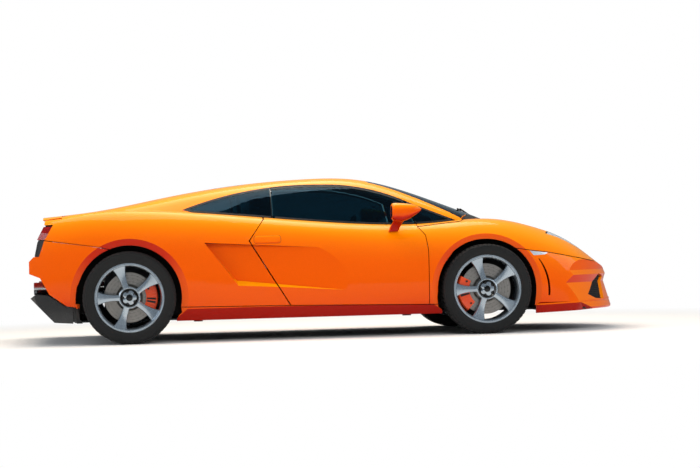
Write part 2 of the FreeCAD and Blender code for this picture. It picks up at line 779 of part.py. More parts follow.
def scoop_throat():
    """The slot at the rear of the right flank's recess, where air goes in."""
    top = Vector(SCOOP_FLOOR[1][0] + 20, 0, SCOOP_FLOOR[1][1] - 30)
    bottom = Vector(SCOOP_FLOOR[2][0] + 10, 0, SCOOP_FLOOR[2][1] + 10)
    corners = [(top.x - 60, top.z), (top.x + 30, top.z), (bottom.x + 30, bottom.z), (bottom.x - 60, bottom.z)]
    return prism(corners, "xz", -912, -876)


def make_rear_bumper():
    outline_points = [(-1438, 100), *REAR_BUMPER_SEAM, (-2300, 100)]
    bumper = skin_within(outline_points)
    panel = prism(TAIL_BAND, "xz", -1200, 1200)
    valance = block((-2300, -1900), (-720, 720), (100, 480))
    half_width = DIFFUSER_HALF_WIDTH + SEAT_GAP
    diffuser = prism(DIFFUSER_PROFILE, "xz", -half_width, half_width, SEAT_GAP)
    below = block((-2300, FLOOR_REAR_X), (-half_width, half_width), (100, 165))
    return bumper.cut([panel, valance, diffuser, below])


def make_door():
    """The right door, as thick as the whole door, with its inner face leaning to clear the glass.

    Its rear edge lies on the surface that the seam sweeps about the hinge, so that it clears the frame.
    """
    axis_x, axis_y = DOOR_HINGE
    rear_edge = []
    for (x, z), y in zip(DOOR_REAR_SEAM, DOOR_REAR_SKIN_Y):
        rear_edge.append((math.hypot(x - axis_x, y - axis_y) - DOOR_SWEEP_INSET, z))
    section = [(0, rear_edge[0][1] - 100), (rear_edge[0][0], rear_edge[0][1] - 100)]
    section += [*rear_edge, (0, rear_edge[-1][1])]
    points = [Vector(axis_x + r, axis_y, z) for r, z in section]
    sweep = Part.Face(Part.makePolygon(points + points[:1]))
    sweep = sweep.revolve(Vector(axis_x, axis_y, 0), Vector(0, 0, 1), 360)
    scoop = side_scoop(0.0)
    inner_face = ((-1100, 100), (-812, 100), (-800, 600), (-735, 790), (-735, 950), (-1100, 950))
    door = LOWER.common(prism(DOOR_OUTLINE, "xz", -1100, -600, -HALF_SEAM))
    return door.common(prism(inner_face, "yz", -900, 900)).common(sweep).cut(scoop)


def glass_shell():
    return greenhouse(0.0).cut([greenhouse(GLASS), LOWER])


def make_door_glass(shell):
    opening = prism(SIDE_WINDOW, "xz", -900, -350, -SEAM)
    return shell.common(opening).common(prism(DOOR_GLASS_ENDS, "xz", -900, -350))


def make_fixed_side_glass(shell):
    opening = shell.common(prism(SIDE_WINDOW, "xz", -900, -350, -SEAT_GAP))
    rear = opening.common(block((-1200, QUARTER_GLASS_X), (-900, -350), (700, 1200)))
    front = opening.common(prism(FRONT_LIGHT_ENDS, "xz", -900, -350))
    pair = [rear, front]
    return Part.makeCompound(pair + [mirrored(piece) for piece in pair])


def make_screen(shell, points):
    return shell.common(from_above(points, -SEAT_GAP))


def make_headlamps():
    lens = SHELL.common(from_above(HEADLAMP, 0.0))
    return both(lens.common(block((1000, 2500), (-1000, 0), (300, 1000))))


def lens_skin():
    """The outermost layer of the body, as thick as a lamp's cover."""
    depth = LENS - SEAT_GAP
    return OUTER.cut(trimmed(hull(depth), depth))


def make_side_markers(skin):
    return both(skin.common(prism(SIDE_MARKER, "xz", -1200, 0)))


def make_rear_panel():
    """The dark panel between and under the tail lamps, set back by their thickness and round both corners."""
    face = trimmed(hull(LENS), LENS).cut(INNER)
    return main_solid(face.common(prism(TAIL_BAND, "xz", -1200, 1200, -SEAT_GAP)))


def make_tail_lamps(skin):
    band = skin.common(prism(TAIL_BAND, "xz", -1200, 1200, -SEAT_GAP))
    return both(main_solid(band.common(prism(TAIL_LAMP, "yz", -2400, -1900))))


def make_spoiler():
    """The raised lip across the tail, a slice of the deck's own surface, with a slot for each hinge ear."""
    whole = hull(0.0).fuse(greenhouse(0.0))
    spoiler = whole.common(prism(SPOILER_PROFILE, "xz", -SPOILER_HALF_WIDTH, SPOILER_HALF_WIDTH))
    cuts = hinge_bars(SPOILER_HINGE, SPOILER_PIN + SEAT_GAP, SPOILER_PIN_REACH + SEAT_GAP)
    half = SPOILER_EAR / 2 + SEAM
    for side in (-1, 1):
        y = side * SPOILER_HINGE.y
        cuts.append(block((SPOILER_HINGE.x - 15, -1800), (y - half, y + half), (800, SPOILER_HINGE.z + 11)))
    return spoiler.cut(cuts)


def main_solid(shape):
    return max(shape.Solids, key=lambda solid: solid.Volume)


def make_mirror(door):
    """The right door mirror: a teardrop head, blunt at the back, on a slanted foot."""
    rings = []
    for x, half_y, half_z, z in MIRROR_ROWS:
        centre = Vector(x, MIRROR_Y, z)
        ring = Part.Ellipse(centre + Vector(0, half_y, 0), centre + Vector(0, 0, half_z), centre)
        rings.append(Part.Wire(ring.toShape()))
    head = Part.makeLoft(rings, True, False)
    foot, neck = (Part.makePolygon([Vector(*p) for p in ring + ring[:1]]) for ring in MIRROR_STALK)
    stalk = Part.makeLoft([foot, neck], True, True)
    return main_solid(head.fuse(stalk).cut(door))


def placed(shape, axle):
    """A right-hand wheel piece moved from the wheel's own centre to its place on the car."""
    return shape.translated(Vector(axle.x, -axle.track / 2, axle.radius))


def make_tyre(axle):
    half = axle.width / 2
    wall = axle.radius - RIM_RADIUS
    seat = half - RIM_FLANGE_INSET
    section = [
        (9.5 - seat, RIM_RADIUS + SEAT_GAP),
        (7 - seat, RIM_RADIUS + RIM_FLANGE + SEAT_GAP),
        (-half, RIM_RADIUS + 0.45 * wall),
        (-half + 8, axle.radius - 14),
        (-half + 26, axle.radius),
    ]
    section += [(-w, r) for w, r in reversed(section)]
    return placed(turned(section), axle)


def make_rim(axle):
    """A five-spoke rim: a barrel with a stepped outer lip, a hub and spokes that widen to the lip."""
    half = axle.width / 2 - RIM_FLANGE_INSET
    barrel = [
        (-half, RIM_RADIUS + RIM_FLANGE),
        (-half, RIM_RADIUS - RIM_WALL),
        (half - 64, RIM_RADIUS - RIM_WALL),
        (half - 44, SPOKE_REACH),
        (half - 22, SPOKE_REACH),
        (half - 17, RIM_RADIUS - 8),
        (half - 4, RIM_RADIUS - 4),
        (half, RIM_RADIUS + RIM_FLANGE),
        (half - 7, RIM_RADIUS + RIM_FLANGE),
        (half - 9, RIM_RADIUS),
        (-half + 9, RIM_RADIUS),
        (-half + 7, RIM_RADIUS + RIM_FLANGE),
    ]
    face = half - 30
    hub = turned([(HUB_FACE_W, STUB_RADIUS + STUB_GAP), (HUB_FACE_W, HUB_RADIUS), (face - 6, HUB_RADIUS),
                  (face, HUB_RADIUS - 10), (face, 0), (face - 14, 0), (face - 14, STUB_RADIUS + STUB_GAP)])
    shape = turned(barrel).fuse(hub)
    for index in range(SPOKES):
        rings = []
        for radius, half_width, back, front in (
            (HUB_RADIUS - 12, 33, face - 34, face - 1),
            (135, 23, half - 52, half - 30),
            (SPOKE_REACH + 4, 40, half - 42, half - 23),
        ):
            corners = [(-half_width, -back), (half_width, -back), (half_width * 0.7, -front), (-half_width * 0.7, -front)]
            ring = [Vector(x, y, radius) for x, y in corners]
            rings.append(Part.makePolygon(ring + ring[:1]))
        spoke = Part.makeLoft(rings, True, True)
        spoke.rotate(Vector(0, 0, 0), Vector(0, 1, 0), 360 * (index + 0.5) / SPOKES)
        shape = shape.fuse(spoke)
    return placed(main_solid(shape), axle)


def make_disc(axle):
    """The brake disc on its hat, bolted to the back of the hub."""
    section = [
        (HUB_FACE_W - SEAT_GAP, HAT_RADIUS),
        (HUB_FACE_W - SEAT_GAP, HAT_BORE),
        (HUB_FACE_W - 8, HAT_BORE),
        (HUB_FACE_W - 8, HAT_RADIUS - 8),
        (DISC_W - 8, HAT_RADIUS - 8),
        (DISC_W - 8, HAT_RADIUS),
        (DISC_W - DISC_THICKNESS / 2, HAT_RADIUS + 14),
        (DISC_W - DISC_THICKNESS / 2, axle.disc_radius),
        (DISC_W + DISC_THICKNESS / 2, axle.disc_radius),
        (DISC_W + DISC_THICKNESS / 2, HAT_RADIUS + 14),
        (DISC_W + 8, HAT_RADIUS),
    ]
    return placed(turned(section), axle)


def make_caliper(axle, middle_angle):
    """A caliper over the disc's rim. middle_angle is seen from the right side, up from straight ahead."""
    inner = axle.disc_radius - 58
    outer = axle.disc_radius + 24
    half_depth = DISC_THICKNESS / 2 + CALIPER_CHEEK
    section = [(DISC_W - half_depth, inner), (DISC_W - half_depth, outer - 8), (DISC_W - half_depth + 10, outer),
               (DISC_W + half_depth - 10, outer), (DISC_W + half_depth, outer - 8), (DISC_W + half_depth, inner)]
    points = [Vector(0, -w, r) for w, r in section]
    body = Part.Face(Part.makePolygon(points + points[:1]))
    body = body.revolve(Vector(0, 0, 0), Vector(0, 1, 0), CALIPER_SPAN)
    gap = DISC_THICKNESS / 2 + DISC_GAP
    slot = turned([(DISC_W - gap, inner - 20), (DISC_W - gap, axle.disc_radius + DISC_GAP),
                   (DISC_W + gap, axle.disc_radius + DISC_GAP), (DISC_W + gap, inner - 20)])
    body = body.cut(slot)
    body.rotate(Vector(0, 0, 0), Vector(0, 1, 0), 90 - middle_angle - CALIPER_SPAN / 2)
    return placed(body, axle)


def make_upright(axle):
    """The carrier that holds the wheel: a plate with eyes above and below, and the stub the hub turns on."""
    plate = prism(UPRIGHT_OUTLINE, "xz", KINGPIN_INSET - 16, KINGPIN_INSET + 16)
    stub = bar(Vector(0, KINGPIN_INSET, 0), Vector(0, -(axle.width / 2 - 58), 0), STUB_RADIUS)
    boss = bar(Vector(0, KINGPIN_INSET, 0), Vector(0, KINGPIN_INSET - 34, 0), 46)
    return placed(fused([plate, boss, stub]), axle)


def make_caliper_arm(axle, middle_angle):
    """The bracket from the upright to the caliper's inner cheek."""
    radius = axle.disc_radius - 30
    angle = math.radians(middle_angle)
    w_back = DISC_W - DISC_THICKNESS / 2 - CALIPER_CHEEK - SEAT_GAP
    elbow = Vector(radius * math.cos(angle), KINGPIN_INSET - 4, radius * math.sin(angle))
    arm = bar(Vector(0, elbow.y, 0), elbow, 9)
    pad = bar(elbow, Vector(elbow.x, -w_back, elbow.z), 14)
    return placed(fused([arm, pad]), axle)


def make_wishbones(axle):
    """The upper and lower arms of the right side, from the inner rail to the upright's ball joints."""
    kingpin_y = -axle.track / 2 + KINGPIN_INSET
    inner_y = -RAIL_Y[axle.name] - SEAT_GAP
    rail = block((axle.x - 2 * ARM_SPREAD, axle.x + 2 * ARM_SPREAD), (inner_y, 0), (0, 1000))
    arms = []
    for z in (axle.radius + BALL_Z + BALL_RADIUS + SEAT_GAP, axle.radius - BALL_Z - BALL_RADIUS - SEAT_GAP):
        ball = Vector(axle.x, kingpin_y, z)
        legs = [bar(ball - Vector(0, 0, BALL_RADIUS), ball + Vector(0, 0, BALL_RADIUS), BALL_RADIUS + 4)]
        for x in (axle.x - ARM_SPREAD, axle.x + ARM_SPREAD):
            legs.append(bar(Vector(x, inner_y + ARM_RADIUS, z), ball, ARM_RADIUS))
        arms.append(fused(legs).cut(rail))
    return arms


def wheel_house(axle, radius, low_y):
    """The space of the right wheel, from the middle of the car outward, open at the bottom."""
    start = Vector(axle.x, -1100, axle.radius)
    round_part = Part.makeCylinder(radius, 1100 - low_y, start, Vector(0, 1, 0))
    below = block((axle.x - radius, axle.x + radius), (-1100, -low_y), (0, axle.radius))
    return round_part.fuse(below)


def make_liner(axle):
    """The right wheel house's black liner, kept inside the skin."""
    radius = axle.radius + LINER_GAP[axle.name]
    low_y = LINER_INNER_Y[axle.name]
    shell = wheel_house(axle, radius + LINER, low_y).cut(wheel_house(axle, radius, low_y))
    above = block((axle.x - 600, axle.x + 600), (-ARCH_LIP_Y + SEAT_GAP, 0), (SKIRT_BOTTOM_Z + FLOOR + SEAT_GAP, 1000))
    return main_solid(shell.common(above).common(ROOM))


def make_tub():
    """Floor, tunnel, inner sills, bulkheads, luggage bay and engine rails in one welded tub."""
    floor_z = (SKIRT_BOTTOM_Z, SKIRT_BOTTOM_Z + FLOOR)
    top = floor_z[1]
    pieces = [block((FLOOR_REAR_X, 2150), (-1000, 1000), floor_z)]
    pieces.append(prism(TUNNEL, "yz", BULKHEAD_X, FIREWALL_X))
    for side in (-1, 1):
        pieces.append(prism([(side * y, z) for y, z in INNER_SILL], "yz", BULKHEAD_X, FIREWALL_X))
        front = sorted((side * RAIL_Y["front"], side * (RAIL_Y["front"] - BAY_WALL)))
        pieces.append(block((FIREWALL_X, BAY_FRONT_X), front, (floor_z[0], BAY_TOP_Z)))
        rear = sorted((side * RAIL_Y["rear"], side * (RAIL_Y["rear"] - RAIL_WIDTH)))
        pieces.append(block((RAIL_REAR_X, BULKHEAD_X), rear, (floor_z[0], top + RAIL_HEIGHT)))
    pieces.append(block((BULKHEAD_X, BULKHEAD_X + BULKHEAD), (-720, 720), (floor_z[0], 1200)))
    pieces.append(block((FIREWALL_X - BAY_WALL, FIREWALL_X), (-700, 700), (floor_z[0], 780)))
    pieces.append(block((BAY_FRONT_X, BAY_FRONT_X + BAY_WALL), (-RAIL_Y["front"], RAIL_Y["front"]), (floor_z[0], BAY_TOP_Z)))
    tub = fused(pieces).common(ROOM)
    window = block((BULKHEAD_X - 50, BULKHEAD_X + 50), (-390, 390), (860, 1040))
    houses = []
    for axle in AXLES:
        radius = axle.radius + LINER_GAP[axle.name] + LINER + SEAT_GAP
        house = wheel_house(axle, radius, LINER_INNER_Y[axle.name] - SEAT_GAP)
        houses += [house, mirrored(house)]
    pads = []
    for side in (-1, 1):
        for x in JACK_X:
            pads.append(bar(Vector(x, side * JACK_Y, JACK_FACE_Z), Vector(x, side * JACK_Y, floor_z[0] + 2), JACK_RADIUS))
    return main_solid(tub.cut([window, *houses]).fuse(pads))


def make_seat(side):
    """One seat: a cushion and a reclined back from one side profile, with rounded edges."""
    seat = prism(SEAT_PROFILE, "xz", -SEAT_WIDTH / 2, SEAT_WIDTH / 2)
    seat = seat.makeFillet(SEAT_ROUND, [edge for edge in seat.Edges if edge.BoundBox.YLength < 1])
    return seat.translated(Vector(0, side * SEAT_Y, 0))


def along_column(shape):
    """A shape built about the steering wheel's axis, moved to its place in front of the driver."""
    tilted = shape.copy()
    tilted.rotate(Vector(0, 0, 0), Vector(0, 1, 0), COLUMN_TILT)
    return tilted.translated(Vector(*STEERING_WHEEL_AT))


def make_dashboard():
    board = prism(DASH_PROFILE, "xz", -DASH_HALF_WIDTH, DASH_HALF_WIDTH)
    hole = along_column(Part.makeCylinder(COLUMN_RADIUS + SEAT_GAP, COLUMN_LENGTH + RUN_GAP))
    return main_solid(board.cut(hole).common(ROOM).common(trimmed(hull(GLASS + 8), GLASS + 8)))


def make_steering_wheel():
    """A rim with three spokes and a boss on its column, square to the column's slope."""
    grip = []
    for turn in range(0, 360, 45):
        angle = math.radians(turn)
        grip.append((WHEEL_GRIP * math.sin(angle), WHEEL_RADIUS + WHEEL_GRIP * math.cos(angle)))
    ring = turned(grip)
    ring.rotate(Vector(0, 0, 0), Vector(1, 0, 0), 90)
    pieces = [ring, Part.makeCylinder(42, 34, Vector(0, 0, -17))]
    for degrees in (0, 90, 270):
        angle = math.radians(degrees)
        reach = Vector(math.cos(angle), math.sin(angle), 0)
        pieces.append(bar(Vector(0, 0, 0), reach * WHEEL_RADIUS, 9))
    pieces.append(Part.makeCylinder(COLUMN_RADIUS, COLUMN_LENGTH))
    return along_column(fused(pieces))


def make_window_pillars():
    """Black pillars behind the gaps between the side panes."""
    layer = greenhouse(GLASS + SEAT_GAP).cut([greenhouse(GLASS + PILLAR), hull(-RUN_GAP)])
    opening = layer.common(prism(SIDE_WINDOW, "xz", -900, -350, -SEAT_GAP))
    rear = opening.common(block((-485, -399), (-900, -350), (700, 1300)))
    front = opening.common(prism(FRONT_PILLAR, "xz", -900, -350))
    pair = [rear, front]
    return Part.makeCompound(pair + [mirrored(piece) for piece in pair])


def make_wiper():
    """One blade and its arm, which follow the windscreen a little above the glass."""
    blade = greenhouse(-14).cut(greenhouse(-2)).common(from_above(WIPER_BLADE, 0))
    arm = greenhouse(-24).cut(greenhouse(-12)).common(from_above(WIPER_ARM, 0))
    x, y = WIPER_PIVOT
    post = Part.makeCylinder(13, 200, Vector(x, y, 760)).common(greenhouse(-24)).cut([greenhouse(0), hull(0)])
    return main_solid(blade.fuse([arm, post]))


def make_diffuser():
    """The black undertray that rises behind the rear wheels, with fins under it and a valance above."""
    wedge = prism(DIFFUSER_PROFILE, "xz", -DIFFUSER_HALF_WIDTH, DIFFUSER_HALF_WIDTH).common(hull(12))
    valance = block((VALANCE_X, VALANCE_X + 10), (-718, 718), (330, 477))
    cuts = []
    for side in (-1, 1):
        for y in TAILPIPE_Y:
            cuts.append(Part.makeCylinder(TAILPIPE_RADIUS + 5, 400, Vector(-2200, side * y, TAILPIPE_Z), Vector(1, 0, 0)))
    step = 2 * (DIFFUSER_HALF_WIDTH - 120) / DIFFUSER_CHANNELS
    for index in range(DIFFUSER_CHANNELS):
        low = -DIFFUSER_HALF_WIDTH + 120 + index * step + FIN / 2
        cuts.append(prism(CHANNEL_PROFILE, "xz", low, low + step - FIN))
    house = wheel_house(REAR, REAR.radius + LINER_GAP["rear"] + LINER + SEAT_GAP, LINER_INNER_Y["rear"] - SEAT_GAP)
    cuts += [house, mirrored(house), block((FLOOR_REAR_X - SEAT_GAP, 0), (-1000, 1000), (0, 1000))]
    tow_y, tow_z = TOW_EYE
    mouth = Vector(VALANCE_X, tow_y, tow_z)
    boss = bar(mouth, mouth + Vector(TOW_DEPTH + 4, 0, 0), TOW_RADIUS + 9)
    cuts.append(bar(mouth - Vector(5, 0, 0), mouth + Vector(TOW_DEPTH, 0, 0), TOW_RADIUS))
    return main_solid(wedge.fuse([valance, boss]).cut(cuts))


def make_exhaust():
    """A silencer across the tail with two pairs of round tips."""
    silencer = bar(Vector(SILENCER_X, -560, TAILPIPE_Z), Vector(SILENCER_X, 560, TAILPIPE_Z), 68)
    exhaust = silencer
    bores = []
    for side in (-1, 1):
        inlet = Vector(ENGINE_X[0] - SEAT_GAP, side * INLET_PIPE_Y, TAILPIPE_Z)
        exhaust = exhaust.fuse(bar(inlet, Vector(SILENCER_X, inlet.y, inlet.z), INLET_PIPE_RADIUS))
        for y in TAILPIPE_Y:
            tip = Vector(TAILPIPE_END_X, side * y, TAILPIPE_Z)
            exhaust = exhaust.fuse(bar(tip, Vector(SILENCER_X, side * y, TAILPIPE_Z), TAILPIPE_RADIUS))
            bores.append(bar(tip - Vector(10, 0, 0), tip + Vector(120, 0, 0), TAILPIPE_RADIUS - 4))
    return exhaust.cut(bores)


def make_grilles():
    """Dark mesh behind the front intakes and in the flank slots."""
    layer = ROOM.cut(trimmed(inner_hull(SKIN + 8), SKIN + 8))
    intake = layer.common(prism(FRONT_INTAKE, "yz", 1700, 2300, 9))
    return both(main_solid(intake))


def make_engine():
    return block(ENGINE_X, (-ENGINE_HALF_WIDTH, ENGINE_HALF_WIDTH), ENGINE_Z)


def make_suspension():
    """Front wishbones, and the whole rear carriers with their wishbones and half shafts."""
    pieces = make_wishbones(FRONT) + make_wishbones(REAR)
    upright = make_upright(REAR).fuse(make_caliper_arm(REAR, CALIPER_ANGLES["rear"]))
    hub_y = -REAR.track / 2 + KINGPIN_INSET + 16 + SEAT_GAP
    shaft = bar(Vector(REAR.x, -ENGINE_HALF_WIDTH - SEAT_GAP, REAR.radius), Vector(REAR.x, hub_y, REAR.radius), 22)
    pieces += [upright, shaft]
    return Part.makeCompound(pieces + [mirrored(piece) for piece in pieces])


def corner_pieces():
    """The pieces of each wheel, by node name."""
    pieces = {}
    for axle in AXLES:
        angle = CALIPER_ANGLES[axle.name]
        shapes = {"tyre": make_tyre(axle), "rim": make_rim(axle), "brake_disc": make_disc(axle)}
        shapes["brake_caliper"] = make_caliper(axle, angle)
        if axle is FRONT:
            shapes["knuckle"] = make_upright(axle).fuse(make_caliper_arm(axle, angle))
        for name, shape in shapes.items():
            pieces[f"{name}_{axle.name}_right"] = shape
            pieces[f"{name}_{axle.name}_left"] = mirrored(shape)
    return pieces


def all_pieces():
    pieces = corner_pieces()
    panes = glass_shell()
    door = make_door()
    handed = {"door": door, "door_glass": make_door_glass(panes), "door_mirror": make_mirror(door)}
    for name, shape in handed.items():
        pieces[f"{name}_right"] = shape
        pieces[f"{name}_left"] = mirrored(shape)
    liners = [make_liner(axle) for axle in AXLES]
    pieces["arch_liners"] = Part.makeCompound(liners + [mirrored(liner) for liner in liners])
    pieces["body_frame"] = make_body_frame()
    pieces["sills"] = make_sills()
    pieces["front_bumper"] = make_front_bumper()
    pieces["front_fenders"] = make_front_fenders()
    pieces["front_lid"] = make_front_lid()
    pieces["cowl"] = make_cowl()
    pieces["rear_bumper"] = make_rear_bumper()
    pieces["windscreen"] = make_screen(panes, WINDSCREEN)
    pieces["rear_window"] = make_screen(panes, REAR_WINDOW)
    pieces["fixed_side_glass"] = make_fixed_side_glass(panes)
    pieces["engine_lid"] = make_engine_lid()
    pieces["spoiler"] = make_spoiler()
    pieces["headlamps"] = make_headlamps()
    pieces["rear_panel"] = make_rear_panel()
    lens = lens_skin()
    pieces["tail_lamps"] = make_tail_lamps(lens)
    pieces["side_markers"] = make_side_markers(lens)
    pieces["grilles"] = make_grilles()
    pieces["window_pillars"] = make_window_pillars()
    pieces["wiper"] = make_wiper()
    pieces["tub"] = make_tub()
    pieces["seats"] = Part.makeCompound([make_seat(-1), make_seat(1)])
    pieces["dashboard"] = make_dashboard()
    pieces["steering_wheel"] = make_steering_wheel()
    pieces["engine"] = make_engine()
    pieces["suspension"] = make_suspension()
    pieces["diffuser"] = make_diffuser()
    pieces["exhaust"] = make_exhaust()
    return pieces


os.makedirs("parts", exist_ok=True)
for node, shape in all_pieces().items():
    shape.translated(Vector(FRAME_SHIFT, 0, 0)).exportStep(f"parts/{node}.step")
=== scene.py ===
# %% [markdown]
# # A low mid-engined coupe in orange
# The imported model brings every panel, wheel and lamp in metres: +X runs to the nose, +Y to the car's left, +Z up.
# This lesson gives each piece its real surface and adds what is too fine for the solids: tread, cushions, mesh,
# lamp units, wheel centres and handles.

# %% Load the frame
import math
from collections import namedtuple

import bmesh
import bpy
from mathutils import Matrix, Vector
from mathutils.bvhtree import BVHTree


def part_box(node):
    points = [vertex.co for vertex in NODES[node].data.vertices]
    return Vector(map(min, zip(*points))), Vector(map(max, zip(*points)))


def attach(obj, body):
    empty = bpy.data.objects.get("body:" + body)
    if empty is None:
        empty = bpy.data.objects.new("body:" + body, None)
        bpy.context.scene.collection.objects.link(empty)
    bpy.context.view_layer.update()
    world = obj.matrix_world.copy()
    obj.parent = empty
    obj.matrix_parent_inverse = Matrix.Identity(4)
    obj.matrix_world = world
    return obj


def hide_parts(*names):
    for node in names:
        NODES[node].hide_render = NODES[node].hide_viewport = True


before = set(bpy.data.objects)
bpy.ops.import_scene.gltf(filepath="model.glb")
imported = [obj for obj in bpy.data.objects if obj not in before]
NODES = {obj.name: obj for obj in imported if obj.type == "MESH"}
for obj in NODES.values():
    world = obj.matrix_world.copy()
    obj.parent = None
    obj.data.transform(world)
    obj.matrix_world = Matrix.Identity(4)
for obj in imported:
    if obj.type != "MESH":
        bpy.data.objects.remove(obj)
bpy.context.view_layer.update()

# %% [markdown]
# ## The camera
# The car is seen from its right side with a long lens, from 16 m away and 0.6 m above the road. The camera is
# turned 6 degrees towards the nose and rolled by 1.5 degrees, so the road tilts a little.

# %% Place the camera
YAW, PITCH, ROLL = (math.radians(angle) for angle in (6.165, 0.463, 1.471))
CAMERA_AT = Vector((-1.493, -15.712, 0.621))
SENSOR_WIDTH_MM = 36.0
LENS_MM = 107.23
VIEW_DEPTH_M = 200


def link_object(name, data):
    """A new object of the scene that carries a mesh, a lamp or a camera."""
    thing = bpy.data.objects.new(name, data)
    bpy.context.scene.collection.objects.link(thing)
    return thing


forward = Vector((math.sin(YAW) * math.cos(PITCH), math.cos(YAW) * math.cos(PITCH), math.sin(PITCH)))
level_right = Vector((math.cos(YAW), -math.sin(YAW), 0))
level_up = level_right.cross(forward)
right = level_right * math.cos(ROLL) - level_up * math.sin(ROLL)
up = level_right * math.sin(ROLL) + level_up * math.cos(ROLL)
camera = link_object("camera", bpy.data.cameras.new("camera"))
camera.data.sensor_width = SENSOR_WIDTH_MM
camera.data.lens = LENS_MM
camera.data.clip_end = VIEW_DEPTH_M
turn = Matrix((right, up, -forward)).transposed().to_4x4()
camera.matrix_world = Matrix.Translation(CAMERA_AT) @ turn
bpy.context.scene.camera = camera
bpy.context.scene.view_settings.view_transform = "Standard"
print("camera at", tuple(CAMERA_AT), "lens", LENS_MM)

# %% [markdown]
# ## Floor, backdrop and light
# Gloss paint is mostly what it mirrors, so the light matters more than the colour. One large soft lamp hangs
# over the car and another stands beside the camera. Camera and glass rays see the world and the far floor white,
# while the light they give stays modest.


# %% Helpers for colours and nodes
def linear(hex_code):
    """An sRGB hex colour as linear red, green, blue and alpha."""
    values = [int(hex_code[i:i + 2], 16) / 255 for i in (1, 3, 5)]
    return [v / 12.92 if v <= 0.04045 else ((v + 0.055) / 1.055) ** 2.4 for v in values] + [1.0]


def add_node(tree, kind, inputs=None, **settings):
    """A new node with its settings; each input is a value, or the socket or node that feeds it."""
    node = tree.nodes.new(kind if kind.startswith(("Geometry", "NodeGroup")) else f"ShaderNode{kind}")
    for name, value in settings.items():
        setattr(node, name, value)
    for name, value in (inputs or {}).items():
        value = value.outputs[0] if isinstance(value, bpy.types.Node) else value
        if isinstance(value, bpy.types.NodeSocket):
            tree.links.new(value, node.inputs[name])
        else:
            node.inputs[name].default_value = value
    return node


def add_ramp(tree, factor, stops):
    """A colour ramp over stops of (position, hex colour)."""
    ramp = add_node(tree, "ValToRGB", {"Fac": factor})
    elements = ramp.color_ramp.elements
    while len(elements) < len(stops):
        elements.new(0.5)
    for element, (position, hex_code) in zip(elements, stops):
        element.position = position
        element.color = linear(hex_code)
    return ramp.outputs["Color"]


def empty_tree(owner):
    """The cleared node tree of a material or a world."""
    owner.use_nodes = True
    owner.node_tree.nodes.clear()
    return owner.node_tree


def start_material(name):
    """A material with an empty tree and its object coordinates."""
    material = bpy.data.materials.new(name)
    tree = empty_tree(material)
    return material, tree, add_node(tree, "TexCoord").outputs["Object"]


def end_material(tree, shader):
    """Send a shader to the material's output."""
    add_node(tree, "OutputMaterial", {"Surface": shader})


def white_when_seen(tree, lit, white_kind, share=1.0):
    """Mix a shader towards plain white where camera and glass rays meet it."""
    path = add_node(tree, "LightPath").outputs
    seen = add_node(tree, "Math", {0: path["Is Camera Ray"], 1: path["Is Transmission Ray"]}, operation="MAXIMUM")
    far = add_node(tree, "Math", {0: share, 1: seen}, operation="MULTIPLY")
    white = add_node(tree, white_kind, {"Color": linear("#FFFFFF"), "Strength": 1.0})
    return add_node(tree, "MixShader", {0: far, 1: lit, 2: white})


# %% Light the studio
WORLD_STRENGTH = 0.38
world = bpy.data.worlds.new("studio")
bpy.context.scene.world = world
tree = empty_tree(world)
lit = add_node(tree, "Background", {"Color": linear("#DCE6F0"), "Strength": WORLD_STRENGTH})
add_node(tree, "OutputWorld", {"Surface": white_when_seen(tree, lit, "Background")})

# Each lamp: its name, its place and aim in metres, its width and height, its power in watts and its colour.
LAMPS = (
    ("overhead", (-0.6, 0.6, 5.2), (0, 0, 0.4), (7.0, 4.0), 420, "#FFF6E8"),
    ("camera_side", (1.5, -9.0, 4.2), (0, 0, 0.5), (6.0, 3.0), 360, "#FFFFFF"),
    ("nose_side", (7.5, -3.0, 3.4), (0.8, 0, 0.5), (4.0, 3.0), 130, "#F4F8FF"),
    ("tail_side", (-7.5, -2.5, 3.2), (-0.8, 0, 0.5), (4.0, 3.0), 130, "#F4F8FF"),
)
for name, place, aim, size, power, hex_code in LAMPS:
    light = bpy.data.lights.new(name, "AREA")
    light.shape = "RECTANGLE"
    light.size, light.size_y = size
    light.energy = power
    light.color = linear(hex_code)[:3]
    lamp = link_object(name, light)
    lamp.location = place
    lamp.rotation_euler = (Vector(aim) - Vector(place)).to_track_quat("-Z", "Y").to_euler()
bpy.data.objects["camera_side"].visible_glossy = False

FLOOR_REACH = 60.0
WHITE_FROM_M, WHITE_BY_M = 2.8, 5.5
floor_mesh = bpy.data.meshes.new("floor")
floor_mesh.from_pydata([(x * FLOOR_REACH, y * FLOOR_REACH, 0) for x, y in ((-1, -1), (1, -1), (1, 1), (-1, 1))], [],
                       [(0, 1, 2, 3)])
floor = link_object("floor", floor_mesh)
floor_material, tree, place = start_material("pale_floor")
reach = add_node(tree, "VectorMath", {0: place}, operation="LENGTH")
fade = add_node(tree, "MapRange", {"Value": reach.outputs["Value"], "From Min": WHITE_FROM_M,
                                             "From Max": WHITE_BY_M}, interpolation_type="SMOOTHSTEP")
matte = add_node(tree, "BsdfDiffuse", {"Color": linear("#EFEDEA")})
end_material(tree, white_when_seen(tree, matte, "Emission", fade))
floor_mesh.materials.append(floor_material)
print(len(LAMPS), "lamps, a floor and a pale world")

# %% [markdown]
# ## Body paint
# Sprayed lacquer: an orange pearl base coat, a little rough, under a clear coat that mirrors sharply. The flakes
# are under 0.1 mm on the car, too fine to show here, so they are 3 mm spots with a very small change of tone.
# Upward faces are painted yellower and downward ones redder: this is painted light and shade, set by the way each
# face points.

# %% Orange pearl lacquer
FLAKE_M = 0.003
# The tones run from faces pointing down to faces pointing up: painted shade at the dark red end, painted light at the
# yellow end.
PAINT_TONES_WITH_PAINTED_SHADE = [(0.0, "#A00E00"), (0.12, "#C22200"), (0.24, "#DE4A00"), (0.4, "#E95A00"), (0.62, "#F57800"),
               (1.0, "#FF9E00")]
ORANGE_PEEL_M, PEEL_DEPTH_M = 0.012, 0.00002


